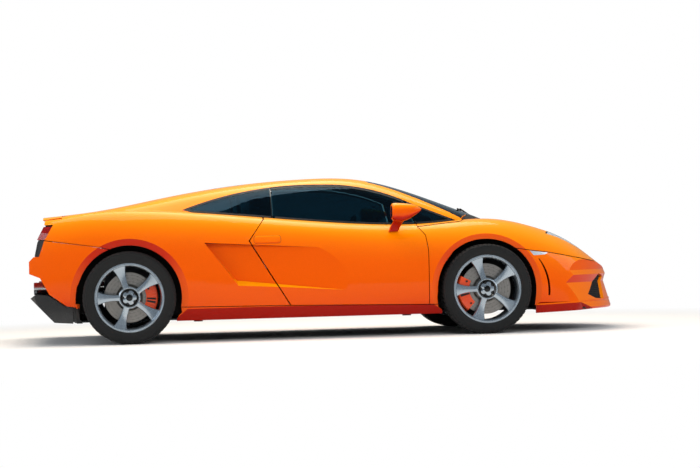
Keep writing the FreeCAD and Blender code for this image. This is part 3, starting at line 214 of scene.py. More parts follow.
def bump(tree, height, depth_m):
    """A normal from a height pattern of the given depth."""
    return add_node(tree, "Bump", {"Height": height, "Distance": depth_m, "Strength": 1.0})


paint, tree, place = start_material("pearl_lacquer")
geometry = add_node(tree, "NewGeometry")
# The base colour follows how far each face points up: painted light on top faces, painted shade underneath.
facing = add_node(tree, "SeparateXYZ", {0: geometry.outputs["Normal"]})
lift = add_node(tree, "MapRange", {"Value": facing.outputs["Z"], "From Min": -0.5, "From Max": 0.9})
tone = add_ramp(tree, lift, PAINT_TONES_WITH_PAINTED_SHADE)
flake = add_node(tree, "TexVoronoi", {"Vector": place, "Scale": 1 / FLAKE_M})
spark = add_ramp(tree, flake.outputs["Color"], [(0.0, "#F4F4F4"), (1.0, "#FFFFFF")])
coloured = add_node(tree, "Mix", {0: 1.0, 6: tone, 7: spark}, data_type="RGBA", blend_type="MULTIPLY")
peel = add_node(tree, "TexNoise", {"Vector": place, "Scale": 1 / ORANGE_PEEL_M, "Detail": 2.0})
lacquer = add_node(tree, "BsdfPrincipled", {
    "Base Color": coloured.outputs[2], "Metallic": 0.0, "Roughness": 0.42, "IOR": 1.5, "Specular IOR Level": 0.12,
    "Specular Tint": linear("#FF8A30"), "Coat Weight": 0.5, "Coat Roughness": 0.05, "Coat IOR": 1.35,
    "Coat Normal": bump(tree, peel, PEEL_DEPTH_M)})
end_material(tree, lacquer)

# %% Rear bumper in two tones
# Below the line where the undertray starts, the real bumper is left in the undertray's black.
TWO_TONE_Z = 0.262
two_tone = paint.copy()
two_tone.name = "pearl_lacquer_over_black"
tree = two_tone.node_tree
output = [node for node in tree.nodes if node.type == "OUTPUT_MATERIAL"][0]
orange = output.inputs["Surface"].links[0].from_socket
height = add_node(tree, "SeparateXYZ", {0: add_node(tree, "TexCoord").outputs["Object"]})
below = add_node(tree, "Math", {0: height.outputs["Z"], 1: TWO_TONE_Z}, operation="LESS_THAN")
black = add_node(tree, "BsdfPrincipled", {"Base Color": linear("#0C0C0D"), "Roughness": 0.35})
chosen = add_node(tree, "MixShader", {0: below, 1: orange, 2: black})
tree.links.new(chosen.outputs[0], output.inputs["Surface"])
print("paint in one tone and in two")

# %% [markdown]
# ## Plastics, rubber and metals
# Moulded plastic has a fine pebble grain, gloss plastic is smooth, rubber is dull, cast aluminium is fine-grained
# under its lacquer. Each scale is the real grain, coarsened where the camera is too far away to see it.

# %% A family of moulded and cast finishes
ROUGHNESS_SPREAD = 0.06


def make_finish(name, dark, light, grain_m, roughness, metallic=0.0, depth_m=0.0002, coat=0.0):
    """A finish whose tone and roughness vary a little over a grain of the given size."""
    material, tree, place = start_material(name)
    grain = add_node(tree, "TexNoise", {"Vector": place, "Scale": 1 / grain_m, "Detail": 4.0})
    wear = add_node(tree, "TexNoise", {"Vector": place, "Scale": 6.0, "Detail": 3.0})
    tone = add_ramp(tree, wear, [(0.3, dark), (0.7, light)])
    rough = add_node(tree, "MapRange", {"Value": wear, "To Min": roughness - ROUGHNESS_SPREAD,
                                                  "To Max": roughness + ROUGHNESS_SPREAD})
    shader = add_node(tree, "BsdfPrincipled", {
        "Base Color": tone, "Metallic": metallic, "Roughness": rough, "IOR": 1.5,
        "Coat Weight": coat, "Normal": bump(tree, grain, depth_m)})
    end_material(tree, shader)
    return material


grained_plastic = make_finish("grained_abs", "#0B0B0C", "#141415", 0.0015, 0.55)
gloss_plastic = make_finish("gloss_abs", "#050506", "#0A0A0B", 0.004, 0.12, depth_m=0.00002, coat=0.5)
carbon_black = make_finish("painted_composite", "#0A0A0B", "#121214", 0.003, 0.28, coat=0.6)
liner_felt = make_finish("pressed_felt", "#0A0A0A", "#121211", 0.004, 0.9, depth_m=0.0008)
undercoat = make_finish("undersealed_aluminium", "#26282A", "#34373A", 0.003, 0.6, metallic=0.3)
cast_alloy = make_finish("sand_cast_aluminium", "#5A5C5E", "#72757A", 0.0025, 0.5, metallic=0.9)
black_iron = make_finish("painted_cast_iron", "#1A1A1B", "#262627", 0.003, 0.5, metallic=0.4)
silver_lacquer = make_finish("lacquered_cast_alloy", "#8E9BA6", "#A9B6C1", 0.003, 0.26, metallic=0.85,
                             depth_m=0.00004, coat=0.6)
caliper_enamel = make_finish("caliper_enamel", "#D93C04", "#EC500A", 0.003, 0.3, coat=0.5)
chrome = make_finish("chrome_plate", "#DCDEDF", "#EFF0F0", 0.01, 0.14, metallic=1.0, depth_m=0.00001)
black_chrome = make_finish("smoked_chrome", "#1B1C1D", "#2A2B2C", 0.01, 0.2, metallic=0.8, depth_m=0.00001)
mirror_silver = make_finish("silvered_glass", "#D4D8DA", "#DEE1E2", 0.01, 0.07, metallic=1.0, depth_m=0.000002)
marker_lens = make_finish("silvered_lamp_lens", "#AEBBC6", "#D8E2EA", 0.006, 0.15, metallic=0.4, depth_m=0.0003,
                          coat=0.8)
rubber = make_finish("tyre_rubber", "#08090A", "#101112", 0.002, 0.8)
seal_rubber = make_finish("window_seal_rubber", "#060606", "#0C0C0C", 0.002, 0.6)
dash_skin = make_finish("soft_dash_skin", "#101112", "#18191A", 0.002, 0.7)
leather = make_finish("seat_leather", "#0D0E10", "#17181A", 0.0016, 0.5, depth_m=0.0004)
thread = make_finish("sewing_thread", "#C24A10", "#D65A1A", 0.001, 0.7)
webbing = make_finish("woven_belt_webbing", "#101011", "#1B1B1C", 0.0012, 0.8, depth_m=0.0005)
print("plastics, rubber and metals are ready")

# %% [markdown]
# ## Brake discs
# A disc is cast iron turned on a lathe and then polished by its pads, so fine rings run round its axle: a noise
# over the distance from the axle.

# %% Turned iron
RINGS_PER_M = 350.0


def make_turned_iron(name, centre):
    """Iron with fine rings round an axle along Y through the given centre."""
    material, tree, place = start_material(name)
    local = add_node(tree, "VectorMath", {0: place, 1: centre}, operation="SUBTRACT")
    flat = add_node(tree, "VectorMath", {0: local, 1: (1, 0, 1)}, operation="MULTIPLY")
    radius = add_node(tree, "VectorMath", {0: flat}, operation="LENGTH")
    rings = add_node(tree, "TexNoise", {"W": radius.outputs["Value"], "Scale": RINGS_PER_M}, noise_dimensions="1D")
    tone = add_ramp(tree, rings, [(0.3, "#6F6D6A"), (0.7, "#A3A19E")])
    shader = add_node(tree, "BsdfPrincipled", {
        "Base Color": tone, "Metallic": 0.9, "Roughness": 0.32, "Normal": bump(tree, rings, 0.0001)})
    end_material(tree, shader)
    return material


# %% [markdown]
# ## Tinted glass and lamp covers
# The glass is tinted blue-green. Transmission lets the dark cabin show through, and the smooth face mirrors the
# sky. Lamp covers are clear or red plastic.


# %% Tinted glass
def make_glass(name, tint, roughness=0.02, transmission=1.0, gleam="#FFFFFF"):
    """A clear or tinted finish with faint smears; the gleam tints what it mirrors."""
    material, tree, place = start_material(name)
    smear = add_node(tree, "TexNoise", {"Vector": place, "Scale": 5.0, "Detail": 2.0})
    rough = add_node(tree, "MapRange", {"Value": smear, "To Min": roughness * 0.5,
                                                  "To Max": roughness * 1.5})
    shader = add_node(tree, "BsdfPrincipled", {
        "Base Color": linear(tint), "Roughness": rough, "IOR": 1.45,
        "Specular Tint": linear(gleam), "Transmission Weight": transmission})
    end_material(tree, shader)
    return material


tinted_glass = make_glass("tinted_toughened_glass", "#2C505C", gleam="#5C93B8")
clear_cover = make_glass("clear_polycarbonate", "#E6ECEE")
red_cover = make_glass("red_acrylic", "#D01818", 0.05, 0.75)
bright_red = make_glass("bright_red_acrylic", "#FF4A3C", 0.04, 0.5)
pale_lens = make_glass("frosted_white_acrylic", "#F2F4F5", 0.25, 0.35)
print("glass is ready")

# %% [markdown]
# ## Finishes on the frame's own nodes
# Where a solid already has the real shape, it only gets its finish. Each name below is a node, or the start of
# several nodes' names.

# %% Give each node its finish
PAINTED = ("body_frame", "front_fenders", "front_bumper", "door_left", "door_right", "front_lid", "engine_lid",
           "spoiler", "sills", "door_mirror")
GLAZED = ("windscreen", "rear_window", "fixed_side_glass", "door_glass")
FINISHES = {
    **dict.fromkeys(PAINTED, paint), **dict.fromkeys(GLAZED, tinted_glass), "rear_bumper": two_tone,
    **dict.fromkeys(("cowl", "rear_panel", "grilles", "wiper", "steering_wheel"), grained_plastic),
    **dict.fromkeys(("suspension", "knuckle"), black_iron), **dict.fromkeys(("seats", "dashboard"), dash_skin),
    "window_pillars": gloss_plastic, "diffuser": carbon_black, "tub": undercoat, "arch_liners": liner_felt,
    "headlamps": clear_cover, "tail_lamps": red_cover, "side_markers": marker_lens, "exhaust": chrome,
    "engine": cast_alloy, "tyre": rubber, "rim": silver_lacquer, "brake_caliper": caliper_enamel,
}


def set_finish(piece, material):
    piece.data.materials.clear()
    piece.data.materials.append(material)


for node, piece in NODES.items():
    if node.startswith("brake_disc"):
        low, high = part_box(node)
        middle = [(a + b) / 2 for a, b in zip(low, high)]
        set_finish(piece, make_turned_iron(node.replace("brake_disc", "turned_iron"), middle))
        continue
    names = [name for name in FINISHES if node.startswith(name)]
    set_finish(piece, FINISHES[max(names, key=len)])
print("finishes set on", len(NODES), "nodes")

# %% [markdown]
# ## Helpers that make the finer pieces
# Sizes are in millimetres, as on the car's drawings. A piece is a list of points and faces: turned profiles for
# wheels, lofts for spokes and cushions, and thin sheets on the body's skin. What repeats, such as tread blocks,
# bolts or stitches, is drawn once, and a node tree sets the copies round an axle or along a row.

# %% Points, faces and pieces
MM = 0.001
SIDES = (("right", -1), ("left", 1))
DRAWING_START_MM = -33.0
ALONG, ACROSS, UPWARD = Vector((1, 0, 0)), Vector((0, 1, 0)), Vector((0, 0, 1))


def drawn(x, y, z):
    """A point in metres from the drawings' millimetres, whose X counts from 33 mm behind the frame's origin."""
    return Vector(((x + DRAWING_START_MM) * MM, y * MM, z * MM))


def turns(count):
    """The angles of even steps round a circle."""
    return [2 * math.pi * i / count for i in range(count)]


def add_mesh(name, points, faces, edges=()):
    """A mesh object from points in metres."""
    mesh = bpy.data.meshes.new(name)
    mesh.from_pydata([tuple(point) for point in points], edges, faces)
    return link_object(name, mesh)


def dress(piece, material, body, sharp_deg=35):
    """Clean normals, shading, finish and body for a piece."""
    tidy = bmesh.new()
    tidy.from_mesh(piece.data)
    bmesh.ops.remove_doubles(tidy, verts=tidy.verts, dist=0.02 * MM)
    bmesh.ops.recalc_face_normals(tidy, faces=tidy.faces)
    tidy.to_mesh(piece.data)
    tidy.free()
    piece.data.shade_smooth()
    piece.data.set_sharp_from_angle(angle=math.radians(sharp_deg))
    set_finish(piece, material)
    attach(piece, body)
    return piece


def make_piece(name, points, faces, material, body, slot, sharp_deg=35):
    """A closed mesh piece that rides on a body."""
    return dress(add_mesh(name, points, faces), material, body, sharp_deg)


def settle(piece):
    """Put what a piece's modifiers make of it in place of its mesh, and clear them."""
    plain = bpy.data.meshes.new_from_object(piece.evaluated_get(bpy.context.evaluated_depsgraph_get()))
    piece.modifiers.clear()
    piece.data = plain


def loft(loops, closed=False):
    """Points and faces over loops of equal length, capped at both ends unless the loops close on themselves."""
    points = [point for loop in loops for point in loop]
    size = len(loops[0])
    faces = []
    for row in range(len(loops) - (0 if closed else 1)):
        start, after = row * size, (row + 1) % len(loops) * size
        for i in range(size):
            j = (i + 1) % size
            faces.append((start + i, start + j, after + j, after + i))
    if not closed:
        faces.append(tuple(range(size)))
        faces.append(tuple(range(len(points) - size, len(points))))
    return points, faces


def stack(spot, rows, corners, axis, u, v):
    """A small round or cornered shape; rows hold its place along the axis and its radius, in mm."""
    return loft([[spot + (axis * w + (u * math.cos(turn) + v * math.sin(turn)) * r) * MM for turn in turns(corners)]
                 for w, r in rows])


def joined(parts):
    """One list of points and faces from several."""
    points, faces = [], []
    for part_points, part_faces in parts:
        start = len(points)
        points += part_points
        faces += [tuple(start + i for i in face) for face in part_faces]
    return points, faces


def closed_sheet(columns):
    """A closed thin sheet from columns of (outer, inner) points."""
    height, width = len(columns), len(columns[0])
    points = [pair[layer] for layer in (0, 1) for column in columns for pair in column]
    far = height * width
    faces = []
    for i in range(height - 1):
        for j in range(width - 1):
            a = i * width + j
            b, c, d = a + 1, a + width + 1, a + width
            faces += [(a, b, c, d), (far + d, far + c, far + b, far + a)]
    rim = list(range(width)) + [i * width + width - 1 for i in range(1, height)]
    rim += [(height - 1) * width + j for j in range(width - 2, -1, -1)]
    rim += [i * width for i in range(height - 2, 0, -1)]
    faces += [(a, far + a, far + b, b) for a, b in zip(rim, rim[1:] + rim[:1])]
    return points, faces


# %% Pieces made by a node tree
def start_group(name, sockets):
    """A geometry tree with named inputs of the given kinds; returns the tree and what the inputs carry."""
    tree = bpy.data.node_groups.new(name, "GeometryNodeTree")
    for socket, kind in (("Geometry", "Geometry"), *sockets):
        tree.interface.new_socket(socket, in_out="INPUT", socket_type=f"NodeSocket{kind}")
    tree.interface.new_socket("Geometry", in_out="OUTPUT", socket_type="NodeSocketGeometry")
    return tree, add_node(tree, "NodeGroupInput").outputs


def end_group(tree, made, material):
    """Turn what the tree made into real faces with their material, and send them out."""
    solid = add_node(tree, "GeometryNodeRealizeInstances", {"Geometry": made})
    coated = add_node(tree, "GeometryNodeSetMaterial", {"Geometry": solid, "Material": material})
    add_node(tree, "NodeGroupOutput", {"Geometry": coated})
    return tree


def grow(piece, tree, values, material, body):
    """Run a tree over a piece with the given inputs and keep the result as a plain mesh."""
    modifier = piece.modifiers.new("tree", "NODES")
    modifier.node_group = tree
    for item in tree.interface.items_tree:
        if item.in_out == "INPUT" and item.name in values:
            modifier[item.identifier] = values[item.name]
    settle(piece)
    return dress(piece, material, body)


def make_repeat_tree(material):
    """A tree that sets copies of its geometry: each one moved by Offset and turned by Angle about Y."""
    tree, given = start_group(f"repeat_{material.name}", (("Count", "Int"), ("Start", "Vector"),
                                                          ("Offset", "Vector"), ("Angle", "Float")))
    index = add_node(tree, "GeometryNodeInputIndex")
    shift = add_node(tree, "VectorMath", {0: given["Offset"], "Scale": index}, operation="SCALE")
    place = add_node(tree, "VectorMath", {0: shift, 1: given["Start"]}, operation="ADD")
    points = add_node(tree, "GeometryNodePoints", {"Count": given["Count"], "Position": place})
    angle = add_node(tree, "Math", {0: index, 1: given["Angle"]}, operation="MULTIPLY")
    turn = add_node(tree, "CombineXYZ", {"Y": angle})
    copies = add_node(tree, "GeometryNodeInstanceOnPoints", {"Points": points, "Instance": given["Geometry"],
                                                             "Rotation": turn})
    return end_group(tree, copies, material)


def repeat(name, shape, material, body, count, start, offset=(0, 0, 0), angle=0.0):
    """A piece of count copies of a shape, which is drawn about the origin."""
    tree = bpy.data.node_groups.get(f"repeat_{material.name}") or make_repeat_tree(material)
    values = {"Count": count, "Start": tuple(start), "Offset": offset, "Angle": angle}
    return grow(add_mesh(name, *shape), tree, values, material, body)


# %% Find the skin
FAR_M, BEYOND_M = 2.0, 3.0


def search_tree(node):
    """A search tree over a node's faces."""
    mesh = NODES[node].data
    return BVHTree.FromPolygons([vertex.co.copy() for vertex in mesh.vertices],
                                [list(polygon.vertices) for polygon in mesh.polygons])


def seen_from_side(tree, x, z, side):
    """What a look along Y from one side meets: the spot, its outward normal and the distance, or None."""
    spot, normal, _, distance = tree.ray_cast(Vector((x, side * FAR_M, z)), Vector((0, -side, 0)))
    if spot is None:
        return None
    return spot, normal if normal.y * side > 0 else -normal, distance


print("helpers ready")

# %% [markdown]
# ## Tyres
# A low-profile tyre has a bead on the rim, a sidewall with fine moulded rings, a rounded shoulder, and a tread of
# blocks between grooves. The carcass is one turned profile. The blocks are real geometry, drawn once for each of
# five rows and set round the axle, because their edges are what one sees from the side and from behind.

# %% Wheels as the frame has them
# half is half the tyre's width and top its radius, in mm; carrier is the body that holds the caliper.
Wheel = namedtuple("Wheel", "end name side body carrier centre half top")
WHEELS = []
for end in ("front", "rear"):
    low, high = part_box(f"tyre_{end}_right")
    for name, side in SIDES:
        centre = Vector(((low[0] + high[0]) / 2, side * abs(low[1] + high[1]) / 2, (low[2] + high[2]) / 2))
        WHEELS.append(Wheel(end, f"{end}_{name}", side, f"wheel_{end}_{name}",
                            f"knuckle_{name}" if end == "front" else "body", centre,
                            (high[1] - low[1]) / 2 / MM, (high[0] - low[0]) / 2 / MM))
        print(WHEELS[-1])


# %% Turned shapes
def polar(w, r, degrees, side):
    """A step from the axle's own centre; w runs outwards, degrees count up from straight ahead."""
    angle = math.radians(degrees)
    return Vector((r * math.cos(angle), side * w, r * math.sin(angle))) * MM


def on_wheel(wheel, w, r, degrees):
    """A point beside a wheel's centre."""
    return wheel.centre + polar(w, r, degrees, wheel.side)


def turned(profile, wheel, segments=96):
    """A ring from a closed profile of (w, r) in mm, w from the wheel's middle outwards."""
    return loft([[on_wheel(wheel, w, r, 360 * i / segments) for w, r in profile] for i in range(segments)],
                closed=True)


# %% Tyres with ribs and blocks
RIM_MM = 241.0
GROOVE = 6.0
BLOCKS = 60
BLOCK_STEP = 360 / BLOCKS
# Blocks as shares: their length of the step along the tread, and the ribs' pitch and half width of the half tyre.
RIB_SHARE, SHOULDER_SHARE = 0.82, 0.8
RIB_PITCH, RIB_HALF = 0.3, 0.115


def tread_block(corners, length, side):
    """A block of the tread; corners hold (w, r, lead in degrees)."""
    return loft([[polar(w, r, share * length + lead, side) for w, r, lead in corners] for share in (-0.5, 0.0, 0.5)])


for wheel in WHEELS:
    half, top, side = wheel.half, wheel.top, wheel.side
    base = top - GROOVE
    shoulder = [(half - 17, RIM_MM + 0.5), (half - 9, 245), (half - 6, 253), (half - 2.5, 262), (half - 1.2, 263.5),
                (half - 0.6, 265.5), (half, (RIM_MM + top) / 2), (half - 1.2, top - 30), (half - 0.2, top - 28.5),
                (half - 0.6, top - 26), (half - 3.5, top - 19), (half - 9, top - 12), (half - 16, top - 7.5),
                (half - 26, base)]
    profile = shoulder + [(-w, r) for w, r in reversed(shoulder)]
    carcass = make_piece(f"tyre_carcass_{wheel.name}", *turned(profile, wheel), rubber, wheel.body, "tyre")
    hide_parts(f"tyre_{wheel.name}")
    blocks = []
    for row in (-1, 0, 1):
        inner_w, outer_w = (RIB_PITCH * row - RIB_HALF) * half, (RIB_PITCH * row + RIB_HALF) * half
        lead = (5.0 * row + 6.0) / 4
        blocks.append(tread_block(((inner_w, base - 1, 0), (inner_w, top - 0.2, 0), (outer_w, top - 0.2, lead),
                                   (outer_w, base - 1, lead)), RIB_SHARE * BLOCK_STEP, side))
    for hand in (-1, 1):
        edge = [(0.5 * half, base - 1), (0.5 * half, top - 0.2), (half - 26, top - 0.4), (half - 15, top - 2.4),
                (half - 7, top - 7.5), (half - 2.2, top - 15), (half - 4, top - 19), (half - 26, base - 1)]
        blocks.append(tread_block([(hand * w, r, 2.0 * hand) for w, r in edge], SHOULDER_SHARE * BLOCK_STEP, side))
    repeat(f"tread_{wheel.name}", joined(blocks), rubber, wheel.body, BLOCKS, wheel.centre,
           angle=2 * math.pi / BLOCKS)
print("four tyres of", BLOCKS, "blocks in 5 rows")

# %% [markdown]
# ## Alloy wheels
# The wheel is cast aluminium, lacquered silver. Its lip steps down in thin rings to the barrel. Five spokes leave
# the hub, sink a little and flare to about twice their width at the barrel. The centre is a black dish with a
# silver plate of five lobes, a dark wheel bolt between each two, and a plain cap.

# %% Barrels, lips and spokes
SPOKES = 5
SPOKE_DEGREES = 360 / SPOKES
FACE_INSET = 27.0
# Each row of a spoke: its distance from the axle, its half width and how far it sinks below the face.
SPOKE_ROWS = ((62, 25, 0), (78, 22, 1), (100, 21, 4), (130, 23, 7), (160, 28, 7), (190, 36, 4), (212, 45, 1),
              (226, 54, -2))
for wheel in WHEELS:
    edge = wheel.half - 8
    face = wheel.half - FACE_INSET
    lip = [(edge - 2, 252.6), (edge, 251.5), (edge, 247.5), (edge - 2.5, 246), (edge - 2.5, 241), (edge - 5, 239.5),
           (edge - 5, 234.5), (edge - 7.5, 233), (edge - 8.5, 229), (edge - 14, 225.5), (edge - 22, 223),
           (edge - 40, 221), (20, 219), (-edge + 26, 221), (-edge + 6, 232), (-edge, 250), (-edge, 252.6),
           (-edge + 5, 252.6), (-edge + 9, 241.5), (-edge + 44, 240), (-edge + 60, 229), (edge - 70, 229),
           (edge - 46, 240), (edge - 9, 241.5), (edge - 5, 252.6)]
    hub = [(face - 40, 30), (face - 8, 62), (face, 66), (face + 0.5, 70), (face - 3, 76), (face - 20, 78),
           (face - 40, 70)]
    parts = [turned(lip, wheel, 128), turned(hub, wheel)]
    for spoke in range(SPOKES):
        middle = math.radians(SPOKE_DEGREES * (spoke + 0.5))
        outwards = Vector((math.cos(middle), 0, math.sin(middle)))
        sideways = Vector((-math.sin(middle), 0, math.cos(middle)))
        loops = []
        for r, width, sink in SPOKE_ROWS:
            front = face - sink
            back = front - 30 + 8 * (r - 62) / 164
            loops.append([wheel.centre + (outwards * r + sideways * u * width + ACROSS * wheel.side * w) * MM
                          for u, w in ((-1, front - 10), (-0.88, front - 3), (-0.5, front), (0.5, front),
                                       (0.88, front - 3), (1, front - 10), (0.6, back), (-0.6, back))])
        parts.append(loft(loops))
    rim = make_piece(f"alloy_{wheel.name}", *joined(parts), silver_lacquer, wheel.body, "rim", 28)
    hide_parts(f"rim_{wheel.name}")

# %% Centre dish, lobed plate, bolts and cap
LOBE_REACH, LOBE_DIP, DIP_DEGREES = 51, 14, 15
LOBE_STEP = 3.6
BOLT_CIRCLE = 45
for wheel in WHEELS:
    face = wheel.half - FACE_INSET
    outwards = ACROSS * wheel.side
    dish = [(face - 44, 0.1), (face - 9, 0.1), (face - 9, 50), (face - 4, 55), (face + 1.2, 60), (face + 1.2, 66),
            (face - 6, 67), (face - 44, 60)]
    make_piece(f"centre_dish_{wheel.name}", *turned(dish, wheel, 64), gloss_plastic, wheel.body, "black_gloss")
    loops = []
    for w, scale in ((face - 10, 1.0), (face - 4, 1.0), (face - 2.6, 0.96), (face - 2.6, 0.05)):
        loop = []
        for i in range(100):
            from_bolt = (LOBE_STEP * i - SPOKE_DEGREES) % SPOKE_DEGREES - SPOKE_DEGREES / 2
            r = LOBE_REACH - LOBE_DIP * math.exp(-(from_bolt / DIP_DEGREES) ** 2)
            loop.append(on_wheel(wheel, w, r * scale, LOBE_STEP * i))
        loops.append(loop)
    make_piece(f"lobed_plate_{wheel.name}", *loft(loops), silver_lacquer, wheel.body, "rim", 50)
    bolt = stack(polar(0, BOLT_CIRCLE, SPOKE_DEGREES / 2, 1), ((face - 14, 8.5), (face - 2, 8.5), (face - 0.8, 7.4)),
                 6, outwards, ALONG, UPWARD)
    repeat(f"wheel_bolts_{wheel.name}", bolt, black_iron, wheel.body, SPOKES, wheel.centre,
           angle=2 * math.pi / SPOKES)
    cap = [(face - 9, 0.1), (face - 0.5, 0.1), (face - 0.8, 12), (face - 2, 17), (face - 1, 18), (face - 1, 22),
           (face - 3, 23.5), (face - 9, 23.5)]
    make_piece(f"centre_cap_{wheel.name}", *turned(cap, wheel, 48), black_chrome, wheel.body, "black_gloss")
print("alloys, dishes, bolts and plain caps")

# %% [markdown]
# ## Drilled discs and caliper hardware
# The iron discs are cross-drilled to shed gas and water: three holes to a slanted row. Only a hole's dark inside
# shows, so each is a shallow black cup. The painted caliper carries two bolts, a pad spring and cooling ribs.

# %% Drillings and caliper parts
DISC_FACE = 21.0
DISC_REACH = {"front": 182, "rear": 178}
CALIPER_DEGREES = {"front": 190.0, "rear": -8.0}
DRILL_ROWS = 24
CUP = ((-3.0, 4.6), (0.15, 4.6), (0.3, 3.6), (-1.0, 3.4))


def caliper_bar(wheel, radii, degrees, section):
    """A bar out along the caliper's face; the section holds (lean in degrees, w)."""
    return loft([[on_wheel(wheel, w, r, degrees + lean) for lean, w in section] for r in radii])


for wheel in WHEELS:
    reach = DISC_REACH[wheel.end]
    outwards = ACROSS * wheel.side
    cups = [stack(polar(DISC_FACE, reach - inset, lean, wheel.side), CUP, 8, outwards, ALONG, UPWARD)
            for inset, lean in ((66, 0.0), (42, 3.5), (18, 7.0))]
    repeat(f"drillings_{wheel.name}", joined(cups), black_iron, wheel.body, DRILL_ROWS, wheel.centre,
           angle=2 * math.pi / DRILL_ROWS)
    low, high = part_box(f"brake_caliper_{wheel.name}")
    outer_w = (max(abs(low[1]), abs(high[1])) - abs(wheel.centre.y)) / MM
    middle = CALIPER_DEGREES[wheel.end]
    rib = ((-1.3, outer_w - 3), (-1.0, outer_w + 2.5), (1.0, outer_w + 2.5), (1.3, outer_w - 3))
    ribs = [caliper_bar(wheel, (reach - 50, reach - 25, reach + 4, reach + 19), middle + turn, rib)
            for turn in (-24, -17, -10, 10, 17, 24)]
    make_piece(f"caliper_ribs_{wheel.name}", *joined(ribs), caliper_enamel, wheel.carrier, "caliper")
    bits = [stack(on_wheel(wheel, outer_w - 2, reach - 30, middle + turn), ((0, 8), (7, 8), (8, 6.8)), 6, outwards,
                  ALONG, UPWARD) for turn in (-32, 32)]
    spring = ((-2.4, outer_w - 4), (-2.4, outer_w + 1.2), (2.4, outer_w + 1.2), (2.4, outer_w - 4))
    bits += [caliper_bar(wheel, (reach - 54, reach - 20, reach + 10), middle + turn, spring) for turn in (-4, 4)]
    make_piece(f"caliper_pads_{wheel.name}", *joined(bits), black_iron, wheel.carrier, "black_trim")
print("drilled discs and caliper hardware")

# %% [markdown]
# ## Wheel arches
# A felted liner hides the chassis. Its inner wall is a flat ring inboard of the wheel, with a mouth for the arms
# and the shaft. It stands clear of the tyre at full lock.

# %% Inner walls of the arches
# For each end: how far the wall stands from the middle plane, the mouth's radius and the wall's own.
ARCH_WALLS = {"front": (531.0, 255.0, 385.0), "rear": (643.0, 250.0, 392.0)}
ARCH_FOOT_M = 0.172
for wheel in WHEELS:
    inner_y, mouth, reach = ARCH_WALLS[wheel.end]
    section = ((0, mouth), (4, mouth), (4, reach - 12), (30, reach), (0, reach))
    loops = []
    for degrees in range(-22, 203, 5):
        loop = [wheel.centre + polar(0, r, degrees, 1) for _, r in section]
        loops.append([Vector((point.x, wheel.side * (inner_y + step) * MM, max(point.z, ARCH_FOOT_M)))
                      for point, (step, _) in zip(loop, section)])
    make_piece(f"arch_wall_{wheel.name}", *loft(loops), liner_felt, "body", "liner", 60)
print("inner walls of four arches")

# %% [markdown]
# ## Window surrounds
# Each side pane has a black border 13 mm wide: print that hides the glue on fixed glass, and a rubber lip on the
# door's. Its upper and lower lines are found on the car itself, by looking along Y and noting where the first
# surface met changes from glass to paint.

# %% Black borders on the side glass
HIDING = ("body_frame", "front_fenders", "front_lid", "cowl")
BORDER = 13.0
COLUMNS, COLUMN_START_M, COLUMN_STEP_M = 136, -1.068, 0.0145
LEVELS, LEVEL_TOP_M, LEVEL_STEP_M = 180, 1.12, 0.002


def first_met(trees, x, z, side):
    """The first surface met from one side: its distance, node, spot and outward normal."""
    hits = []
    for node, tree in trees.items():
        met = seen_from_side(tree, x, z, side)
        if met:
            hits.append((met[2], node, met[0], met[1]))
    return min(hits, key=lambda hit: hit[0]) if hits else None


def border_column(trees, bodies, body, x, glazed, pick, side):
    """Three pairs of points down the border from its edge on the glass, or None where it has no room."""
    if len(glazed) * LEVEL_STEP_M <= BORDER * MM or bodies[glazed[pick][1]] != body:
        return None
    sense = -1 if pick == 0 else 1
    found = [first_met(trees, x, glazed[pick][0] + sense * depth * MM, side) for depth in (1.0, BORDER / 2, BORDER)]
    if not all(found) or any(bodies.get(met[1]) != body for met in found):
        return None
    return [(met[2] + met[3] * 1.2 * MM, met[2] - met[3] * 0.8 * MM) for met in found]


for name, side in SIDES:
    bodies = {"fixed_side_glass": "body", "window_pillars": "body", f"door_glass_{name}": f"door_{name}"}
    trees = {node: search_tree(node) for node in [*bodies, f"door_mirror_{name}", *HIDING, f"door_{name}"]}
    columns = []
    for step in range(COLUMNS):
        x = COLUMN_START_M + COLUMN_STEP_M * step
        met = [(LEVEL_TOP_M - LEVEL_STEP_M * level, first_met(trees, x, LEVEL_TOP_M - LEVEL_STEP_M * level, side))
               for level in range(LEVELS)]
        columns.append((x, [(z, hit[1]) for z, hit in met if hit and hit[1] in bodies]))
    for body in ("body", f"door_{name}"):
        strips = []
        for pick in (0, -1):
            run = []
            for x, glazed in columns + [(None, [])]:
                column = border_column(trees, bodies, body, x, glazed, pick, side)
                if column:
                    run.append(column)
                    continue
                if len(run) > 1:
                    strips.append(closed_sheet(run))
                run = []
        make_piece(f"glass_border_{body}_{name}", *joined(strips), seal_rubber, body, "black_trim", 60)
print("borders on both sides")

# %% [markdown]
# ## Door handles
# Each door opens by a flush flap near its rear seam: a plate in body colour, 188 mm long and 54 mm high with round
# corners, in a thin dark gap.

# %% Flush handle flaps
HANDLE_MIDDLE = Vector((-0.485, 0, 0.717))
HANDLE_HALF = Vector((0.094, 0, 0.027))
HANDLE_CORNER = 0.018
handle_outline = []
for quarter, (x, z) in enumerate(((1, -1), (1, 1), (-1, 1), (-1, -1))):
    corner = Vector((x * (HANDLE_HALF.x - HANDLE_CORNER), 0, z * (HANDLE_HALF.z - HANDLE_CORNER)))
    for k in range(7):
        angle = math.radians(90 * (quarter - 1) + 15 * k)
        handle_outline.append(corner + Vector((math.cos(angle), 0, math.sin(angle))) * HANDLE_CORNER)


def handle_ring(tree, side, shrink, grow_m, lift_mm):
    """The flap's outline, shrunk and then widened, laid on the door and lifted off it."""
    ring = []
    for spot in handle_outline:
        place = HANDLE_MIDDLE + spot * shrink + spot.normalized() * grow_m
        met, outward, _ = seen_from_side(tree, place.x, place.z, side)
        ring.append(met + outward * lift_mm * MM)
    return ring


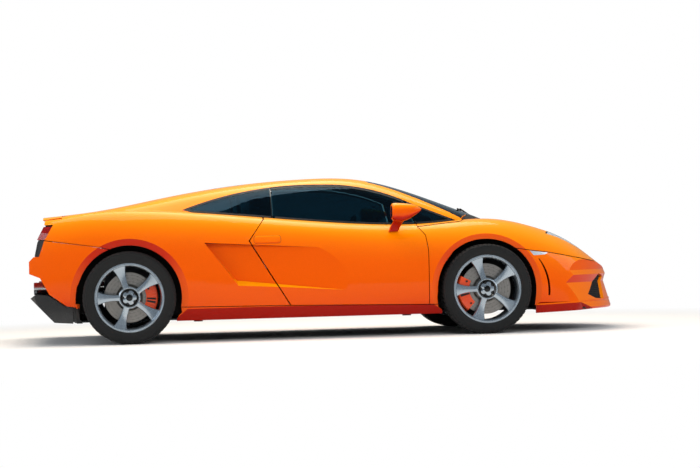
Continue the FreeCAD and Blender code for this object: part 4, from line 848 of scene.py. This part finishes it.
for name, side in SIDES:
    tree = search_tree(f"door_{name}")
    flap = [handle_ring(tree, side, shrink, 0.0, lift) for shrink, lift in
            ((1.0, -0.4), (1.0, 0.5), (0.985, 1.0), (0.7, 1.2), (0.35, 1.3), (0.02, 1.3))]
    make_piece(f"door_handle_{name}", *loft(flap), paint, f"door_{name}", "paint", 50)
    gap = [handle_ring(tree, side, 1.0, wider, lift) for wider, lift in
           ((0.0012, -0.6), (0.0012, 0.35), (0.0034, 0.35), (0.0034, -0.6))]
    make_piece(f"handle_gap_{name}", *loft(gap, closed=True), seal_rubber, f"door_{name}", "black_trim", 50)
print("handle flaps on both doors")

# %% [markdown]
# ## Mirrors
# The mirror is a shell in body colour, round behind and pointed to the nose, on a stalk that leans out of the
# door: a loft of rounded sections. The silvered glass sits in its rear mouth, in a black frame.

# %% Mirror shells, stalks and glass
MIRROR_Y, MIRROR_Z = 972.0, 891.0
GLASS_HALF_Y, GLASS_HALF_Z = 46.0, 48.0
# Each row of the shell: x, half its width, its height above and below the middle, and the middle's height.
MIRROR_ROWS = ((434, 50, 54, 50, 891), (440, 58, 61, 60, 890), (462, 63, 64, 67, 890), (505, 63, 62, 70, 890),
               (550, 55, 54, 60, 893), (592, 41, 41, 42, 899), (626, 22, 23, 22, 903), (646, 8, 8, 8, 905))
# Each row of the stalk: z, then its ends along the car and across it.
STALK_ROWS = ((752, 420, 492, 843, 876), (785, 432, 506, 860, 894), (815, 446, 522, 890, 930),
              (838, 454, 536, 920, 968))


def squircle(count, power=0.75):
    """Points round a rounded square of half size one."""
    return [tuple(math.copysign(abs(value) ** power, value) for value in (math.cos(turn), math.sin(turn)))
            for turn in turns(count)]


for name, side in SIDES:
    pod = [[drawn(x, side * (MIRROR_Y + u * half_y), z + v * (rise if v > 0 else fall)) for u, v in squircle(40)]
           for x, half_y, rise, fall, z in MIRROR_ROWS]
    stalk = [[drawn((back + front + u * (front - back)) / 2, side * (near + far + v * (far - near)) / 2, z)
              for u, v in squircle(24)] for z, back, front, near, far in STALK_ROWS]
    shell = make_piece(f"mirror_shell_{name}", *joined([loft(pod), loft(stalk)]), paint, f"door_{name}", "paint", 45)
    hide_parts(f"door_mirror_{name}")
    for kind, material, slot, rear_x, size in (("frame", gloss_plastic, "black_gloss", 434.2, 1.0),
                                               ("glass", mirror_silver, "steel", 434.0, 0.9)):
        plate = [[drawn(rear_x + step, side * (MIRROR_Y + u * GLASS_HALF_Y * size * share),
                        MIRROR_Z + v * GLASS_HALF_Z * size * share) for u, v in squircle(40)]
                 for step, share in ((3, 1.0), (0, 1.0), (-0.1, 0.97), (-0.1, 0.02))]
        make_piece(f"mirror_{kind}_{name}", *loft(plate), material, f"door_{name}", slot, 50)
print("mirrors")

# %% [markdown]
# ## Front lip
# Under the front bumper a lip in body colour tucks in towards the road and rises a little to the nose. It follows
# the bumper's outline, found by looking inwards from all round.

# %% Lip under the front bumper
LIP_CENTRE = Vector((1.452, 0, 0))
LIP_REACH_M = 0.6
LIP_STEP_DEG = 1.25
# The foot's height, how much it rises to the nose, where the rise starts and over what length.
LIP_FOOT_M, LIP_RISE_M, RISE_FROM_M, RISE_OVER_M = 0.137, 0.02, 1.45, 0.68
# The lip's section: metres above its foot, and millimetres outside the bumper's outline.
LIP_SECTION = ((0.068, 1.2), (0.058, 2.5), (0.0, -30.0), (0.004, -36.0), (0.056, -18.0))


def bumper_edge(tree, outward):
    """The bumper's lowest outline in one direction, or None beyond its ends."""
    for level in (0.215, 0.205, 0.195, 0.185):
        spot, _, _, _ = tree.ray_cast(LIP_CENTRE + outward * FAR_M + UPWARD * level, -outward)
        if spot is not None and (spot - LIP_CENTRE).length > LIP_REACH_M:
            return spot
    return None


tree = search_tree("front_bumper")
loops = []
for step in range(-72, 73):
    angle = math.radians(LIP_STEP_DEG * step)
    outward = Vector((math.cos(angle), math.sin(angle), 0))
    hit = bumper_edge(tree, outward)
    if hit is None:
        continue
    foot = LIP_FOOT_M + LIP_RISE_M * min(max((hit.x - RISE_FROM_M) / RISE_OVER_M, 0.0), 1.0)
    loops.append([Vector((hit.x, hit.y, foot + rise)) + outward * lift * MM for rise, lift in LIP_SECTION])
make_piece("front_lip", *loft(loops), paint, "body", "paint", 30)
print("lip of", len(loops), "stations")

# %% [markdown]
# ## Lamp units
# Under each clear cover lies a dark tray with three round projectors. The tray follows the cover's outline and
# sinks to its middle.

# %% Headlamp units
LAMP_OUTLINE = ((1600, 690), (1640, 560), (1990, 352), (2085, 290), (2078, 345), (1990, 470), (1800, 610))
LAMP_MIDDLE = Vector((1850, 490, 0))
LAMP_FLOOR_M, COVER_HEIGHT_M = 0.2, 0.55
COVER_SHARE = 0.88
# Rings of the tray: its share of the outline, and its depth under the cover in mm.
TRAY_ROWS = ((0.93, 5), (0.90, 5), (0.86, 26), (0.4, 46), (0.02, 52))
PROJECTORS = ((1740, 560, 36), (1850, 480, 30), (1935, 412, 20))


def under_cover(tree, spot, side):
    """The height of the cover's inner face over a point of the drawing."""
    hit, _, _, _ = tree.ray_cast(drawn(spot.x, side * spot.y, LAMP_FLOOR_M / MM), UPWARD)
    return COVER_HEIGHT_M if hit is None else hit.z


def bezel(seat, aim, u, v, profile):
    """A turned ring about an aim; the profile holds (place along the aim, radius) in mm."""
    return loft([[seat + aim * w * MM + (u * math.cos(turn) + v * math.sin(turn)) * r * MM for w, r in profile]
                 for turn in turns(40)], closed=True)


tree = search_tree("headlamps")
rim = []
for (x, y), (x2, y2) in zip(LAMP_OUTLINE, LAMP_OUTLINE[1:] + LAMP_OUTLINE[:1]):
    rim += [Vector((x + (x2 - x) * share, y + (y2 - y) * share, 0)) for share in (0.0, 0.34, 0.67)]
for name, side in SIDES:
    loops = []
    for shrink, drop in TRAY_ROWS:
        loop = []
        for spot in rim:
            inward = LAMP_MIDDLE + (spot - LAMP_MIDDLE) * shrink
            nearby = LAMP_MIDDLE + (spot - LAMP_MIDDLE) * min(shrink, COVER_SHARE)
            loop.append(drawn(inward.x, side * inward.y, under_cover(tree, nearby, side) / MM - drop))
        loops.append(loop)
    under = [[point - UPWARD * 0.004 for point in loop] for loop in reversed(loops)]
    make_piece(f"lamp_tray_{name}", *loft(loops + under), grained_plastic, "body", "black_trim", 40)
    rings, lenses = [], []
    aim = Vector((0.8, side * 0.12, 0.35)).normalized()
    u = aim.cross(UPWARD).normalized()
    v = aim.cross(u)
    for x, y, size in PROJECTORS:
        depth = 12 + size * 0.6
        seat = drawn(x, side * y, under_cover(tree, Vector((x, y, 0)), side) / MM - depth)
        rings.append(bezel(seat, aim, u, v, ((-26, 0.6), (-26, size * 0.86), (-2, size), (3, size), (3, size - 4),
                                             (-4, size - 6), (-8, 0.5))))
        lenses.append(bezel(seat, aim, u, v, ((-6, 0.5), (-4, size - 7), (0, size - 8), (5, size * 0.55),
                                              (7.5, size * 0.3), (8, 0.5))))
    make_piece(f"projector_rings_{name}", *joined(rings), chrome, "body", "steel")
    make_piece(f"projector_lenses_{name}", *joined(lenses), clear_cover, "body", "lamp_clear")
print("lamp trays and projectors")

# %% [markdown]
# ## Wire mesh
# Black wire mesh fills the front intakes and the panel between the tail lamps. The grid's crossings are found on
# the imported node, and a node tree turns its edges into wire, 3 mm thick on a pitch of 14 mm, 20 mm across the tail.

# %% Edges into wire
wire_tree, given = start_group("wire_mesh", (("Radius", "Float"),))
edge_lines = add_node(wire_tree, "GeometryNodeMeshToCurve", {"Mesh": given["Geometry"]})
section = add_node(wire_tree, "GeometryNodeCurvePrimitiveCircle", {"Resolution": 4, "Radius": given["Radius"]})
wire = add_node(wire_tree, "GeometryNodeCurveToMesh", {"Curve": edge_lines, "Profile Curve": section,
                                                       "Fill Caps": True})
end_group(wire_tree, wire, grained_plastic)


WIRE_LIFT_MM = 1.5


def mesh_piece(name, node, ys, zs, direction, radius_mm):
    """Wires along y and along z on a node, seen along X; a wire breaks where the surface ends."""
    tree = search_tree(node)
    look = ALONG * direction
    met = {}
    for i, y in enumerate(ys):
        for j, z in enumerate(zs):
            spot, _, _, _ = tree.ray_cast(Vector((-direction * BEYOND_M, y, z)), look)
            if spot is not None:
                met[i, j] = spot - look * WIRE_LIFT_MM * MM
    rows = [[(i, j) for i in range(len(ys))] for j in range(len(zs))]
    rows += [[(i, j) for j in range(len(zs))] for i in range(len(ys))]
    points, edges = [], []
    for row in rows:
        line = []
        for key in [*row, None]:
            if key in met:
                line.append(met[key])
                continue
            if len(line) > 1:
                edges += [(len(points) + k, len(points) + k + 1) for k in range(len(line) - 1)]
                points += line
            line = []
    grow(add_mesh(name, points, [], edges), wire_tree, {"Radius": radius_mm * MM}, grained_plastic, "body")


# %% Mesh in the intakes and in the tail
for name, side in SIDES:
    mesh_piece(f"intake_mesh_{name}", "grilles", [side * (0.36 + 0.014 * k) for k in range(28)],
               [0.200 + 0.0135 * k for k in range(18)], -1, 1.6)
mesh_piece("tail_mesh", "rear_panel", [-0.84 + 0.02 * k for k in range(85)], [0.640 + 0.014 * k for k in range(8)],
           1, 1.5)
print("wire mesh in the intakes and the tail")

# %% [markdown]
# ## Tail lamps
# The red cover has a pale reversing lamp across its middle and a bright red strip under it, each a thin lens.

# %% Strips on the tail lamps
LAMP_CENTRE = Vector((-1.80, 0, 0))
STRIP_FROM_DEG, STRIP_STEP_DEG = 118, 1.1
STRIPS = (("reverse_strip", (0.797, 0.805, 0.813), pale_lens), ("brake_strip", (0.768, 0.7735, 0.779), bright_red))
tree = search_tree("tail_lamps")
for name, side in SIDES:
    for kind, levels, material in STRIPS:
        columns = []
        for step in range(60):
            angle = math.radians(STRIP_FROM_DEG + STRIP_STEP_DEG * step)
            outward = Vector((math.cos(angle), side * math.sin(angle), 0))
            met = [tree.ray_cast(LAMP_CENTRE + outward * FAR_M + UPWARD * z, -outward)[0] for z in levels]
            if None not in met:
                columns.append([(spot + outward * 1.2 * MM, spot - outward * MM) for spot in met])
        make_piece(f"{kind}_{name}", *closed_sheet(columns), material, "body", "lamp_red", 60)
print("tail lamp strips")

# %% [markdown]
# ## Louvres over the engine
# The lid's slots carry black blades that lean back, to let heat out and keep rain off.

# %% Lid louvres
LOUVRES = 6
FIRST_LOUVRE_X, LOUVRE_PITCH = -1031, -105
LOUVRE_DROP_M = 0.012
blade = [[Vector((x, y, z)) * MM for x, z in ((-24, -9), (20, 5), (23, 3), (-22, -13))]
         for y in (-288, -96, 96, 288)]
tree = search_tree("engine_lid")
first, last = [tree.ray_cast(drawn(FIRST_LOUVRE_X + LOUVRE_PITCH * index, 310, FAR_M / MM), -UPWARD)[0]
               for index in (0, LOUVRES - 1)]
slope = (last - first) / (LOUVRES - 1)
repeat("lid_louvres", loft(blade), grained_plastic, "engine_lid", LOUVRES,
       (first.x, 0, first.z - LOUVRE_DROP_M), (slope.x, 0, slope.z))
print("louvres from", [round(value, 3) for value in first], "to", [round(value, 3) for value in last])

# %% [markdown]
# ## Seats
# Each seat is a hard shell with leather pads: a cushion between two bolsters below, the same behind, and a head
# pad. A pad is foam under leather, so it crowns in its middle and pulls in along its seams. One seat's pads are
# inflated by a cloth simulation and set in both shells. Seams are pressed in afterwards, and thread is laid along
# the bolsters.

# %% Seat shells
SEAT_MIDDLE = 385.0
SHELL_MIDDLE_X, SHELL_MIDDLE_Z, SHELL_REACH = -180.0, 420.0, 300.0
SEAT_LINE = ((140, 176), (158, 330), (150, 372), (60, 372), (-190, 330), (-420, 930), (-515, 982), (-552, 948),
             (-372, 300), (-322, 176))
# Rows across the shell: the distance from its middle, and how far the outline is drawn in there.
SHELL_ROWS = ((-222, 14), (-218, 5), (-206, 0), (206, 0), (218, 5), (222, 14))
for name, side in SIDES:
    loops = []
    for y, inset in SHELL_ROWS:
        share = 1 - inset / SHELL_REACH
        loops.append([drawn(SHELL_MIDDLE_X + (x - SHELL_MIDDLE_X) * share, y + side * SEAT_MIDDLE,
                            SHELL_MIDDLE_Z + (z - SHELL_MIDDLE_Z) * share) for x, z in SEAT_LINE])
    seat_shell = make_piece(f"seat_shell_{name}", *loft(loops), gloss_plastic, "body", "black_gloss", 40)
    if name == "right":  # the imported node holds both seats, so one shell stands for it
        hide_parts("seats")

# %% Seat pads before they are inflated
# Each pad: its middle (x, y, z), half sizes along, across and through, and its tilt back from level.
PADS = (
    (-22, 0, 392, 150, 118, 26, -6.0), (-22, 168, 402, 156, 36, 30, -6.0), (-22, -168, 402, 156, 36, 30, -6.0),
    (-300, 0, 610, 205, 118, 26, 111.0), (-286, 170, 600, 190, 36, 38, 111.0), (-286, -170, 600, 190, 36, 38, 111.0),
    (-404, 0, 880, 62, 108, 24, 111.0),
)
# Rings through a pad: the share of its half thickness, and of its plan.
PAD_RINGS = ((-1.0, 0.86), (-0.7, 1.0), (0.7, 1.0), (1.0, 0.86))
shapes = []
for x, y, z, half_x, half_y, half_z, tilt in PADS:
    turn = math.radians(tilt)
    along = Vector((math.cos(turn), 0, abs(math.sin(turn))))
    through = Vector((-along.z, 0, along.x))
    if through.x + through.z * 0.4 < 0:
        through = -through
    shapes.append(loft([[drawn(x, y, z) + along * u * half_x * share * MM + ACROSS * (v * half_y * share * MM)
                         + through * depth * half_z * MM for u, v in squircle(36, 0.45)]
                        for depth, share in PAD_RINGS]))
pads = add_mesh("pads", *joined(shapes))

# %% Inflate the pads
VOXEL_M = 0.009
PRESSURE = 4.0
LAST_FRAME = 14
MOST_SWELL_M = 0.016
remesh = pads.modifiers.new("remesh", "REMESH")
remesh.mode = "VOXEL"
remesh.voxel_size = VOXEL_M
settle(pads)
flat = [vertex.co.copy() for vertex in pads.data.vertices]
cloth = pads.modifiers.new("cloth", "CLOTH")
cloth.settings.use_pressure = True
cloth.settings.uniform_pressure_force = PRESSURE
cloth.settings.quality = 3
cloth.settings.effector_weights.gravity = 0.0
cloth.collision_settings.use_collision = False
for frame_number in range(1, LAST_FRAME + 1):
    bpy.context.scene.frame_set(frame_number)
settle(pads)
bpy.context.scene.frame_set(1)
moved = 0.0
for vertex, before in zip(pads.data.vertices, flat):
    step = vertex.co - before
    if step.length > MOST_SWELL_M:
        vertex.co = before + step.normalized() * MOST_SWELL_M
    moved = max(moved, (vertex.co - before).length)
print("pads of", len(pads.data.polygons), "faces swelled by up to", round(moved / MM, 1), "mm")

# %% Seams across the centre pads, then both seats
# The normals are read before any point moves, because Blender works all of them out again after a change.
CHANNEL_M, CHANNEL_DEPTH_M, CHANNEL_WIDTH_M = 0.048, 0.0045, 0.0035
CENTRE_HALF_M = 0.12
CUSHION_BACK_X, CUSHION_TOP_Z = -0.235, 0.47
smooth = pads.modifiers.new("smooth", "SUBSURF")
smooth.levels = 1
settle(pads)
normals = [Vector(vertex.normal) for vertex in pads.data.vertices]
for vertex, outward in zip(pads.data.vertices, normals):
    place = vertex.co.copy()
    if abs(place.y) > CENTRE_HALF_M:
        continue
    run = place.x if place.x > CUSHION_BACK_X and place.z < CUSHION_TOP_Z else place.z
    from_seam = (0.5 - abs((run / CHANNEL_M) % 1.0 - 0.5)) * CHANNEL_M
    vertex.co = place - outward * CHANNEL_DEPTH_M * math.exp(-(from_seam / CHANNEL_WIDTH_M) ** 2)
for name, side in SIDES:
    mesh = pads.data.copy()
    for vertex in mesh.vertices:
        vertex.co.y += side * SEAT_MIDDLE * MM
    pad = dress(link_object(f"seat_pads_{name}", mesh), leather, "body", 180)
bpy.data.objects.remove(pads)

# %% Thread along the bolsters
STITCHES = 30
THREAD_Y = 146.0
STITCH_STEP_M = (-0.0088, 0, -0.0009)
stitch = stack(Vector(), ((-3, 0.3), (-2, 0.7), (2, 0.7), (3, 0.3)), 5, ALONG, ACROSS, UPWARD)
for name, side in SIDES:
    for edge, label in ((-1, "inner"), (1, "outer")):
        repeat(f"seat_thread_{name}_{label}", stitch, thread, "body", STITCHES,
               drawn(120, side * SEAT_MIDDLE + edge * THREAD_Y, 421.5), STITCH_STEP_M)
print("two padded seats")

# %% [markdown]
# ## Steering wheel, console and belts
# A soft pad covers the wheel's boss, a low console with a shift gate runs between the seats, and each seat has a
# belt over its back.

# %% Boss pad, console and belts
BOSS = Vector((0.217, 0.370, 0.720))
COLUMN_LEAN = math.radians(22)
PAD_HALF_Y, PAD_HALF_Z = 0.062, 0.05
facing = Vector((-math.cos(COLUMN_LEAN), 0, math.sin(COLUMN_LEAN)))
rise = Vector((math.sin(COLUMN_LEAN), 0, math.cos(COLUMN_LEAN)))
loops = [[BOSS + facing * depth + ACROSS * u * PAD_HALF_Y * size + rise * v * PAD_HALF_Z * size
          for u, v in squircle(36, 0.6)]
         for depth, size in ((0.005, 1.0), (0.024, 0.98), (0.032, 0.86), (0.036, 0.5), (0.037, 0.02))]
make_piece("wheel_boss_pad", *loft(loops), leather, "steering_wheel", "wheel_leather", 40)

# Rows of the console: x, the height of its top, and half its width.
CONSOLE_ROWS = ((-500, 350, 60), (-360, 372, 64), (-120, 395, 66), (120, 420, 70), (300, 520, 74), (390, 600, 78))
CONSOLE_FOOT = 196
GATE_SLOPE = 0.09
loops = []
for x, top, half_width in CONSOLE_ROWS:
    half_line = [(half_width - 30, top), (half_width - 14, top - 3), (half_width, top - 18),
                 (half_width + 8, CONSOLE_FOOT)]
    loops.append([drawn(x, y, z) for y, z in [(-y, z) for y, z in reversed(half_line)] + half_line])
make_piece("centre_console", *loft(loops), dash_skin, "body", "dash", 40)
gate = [[drawn(x, y, z + GATE_SLOPE * (x - 3)) for x, y in ((-40, -34), (70, -34), (70, 34), (-40, 34))]
        for z in (402, 420)]
LEVER_ROWS = ((405, 7), (462, 6), (470, 14), (482, 19), (494, 18), (502, 11), (504, 1))
lever = stack(drawn(10, 0, 0), LEVER_ROWS, 20, UPWARD, ALONG, ACROSS)
make_piece("shift_gate", *joined([loft(gate), lever]), chrome, "body", "steel", 40)

BELT_PATH = ((-506, 300, 1002), (-470, 310, 1000), (-392, 330, 860), (-330, 352, 720), (-250, 372, 560),
             (-196, 390, 452))
BELT_LIFT = 12
BELT_SECTION = ((30, -24), (31.5, -22), (31.5, 22), (30, 24))
for name, side in SIDES:
    loops = [[drawn(x + dx, side * y + dy, z + BELT_LIFT) for dx, dy in BELT_SECTION] for x, y, z in BELT_PATH]
    make_piece(f"belt_{name}", *loft(loops), webbing, "body", "black_trim", 60)
print("cabin details")

# %% Update the scene
bpy.context.view_layer.update()
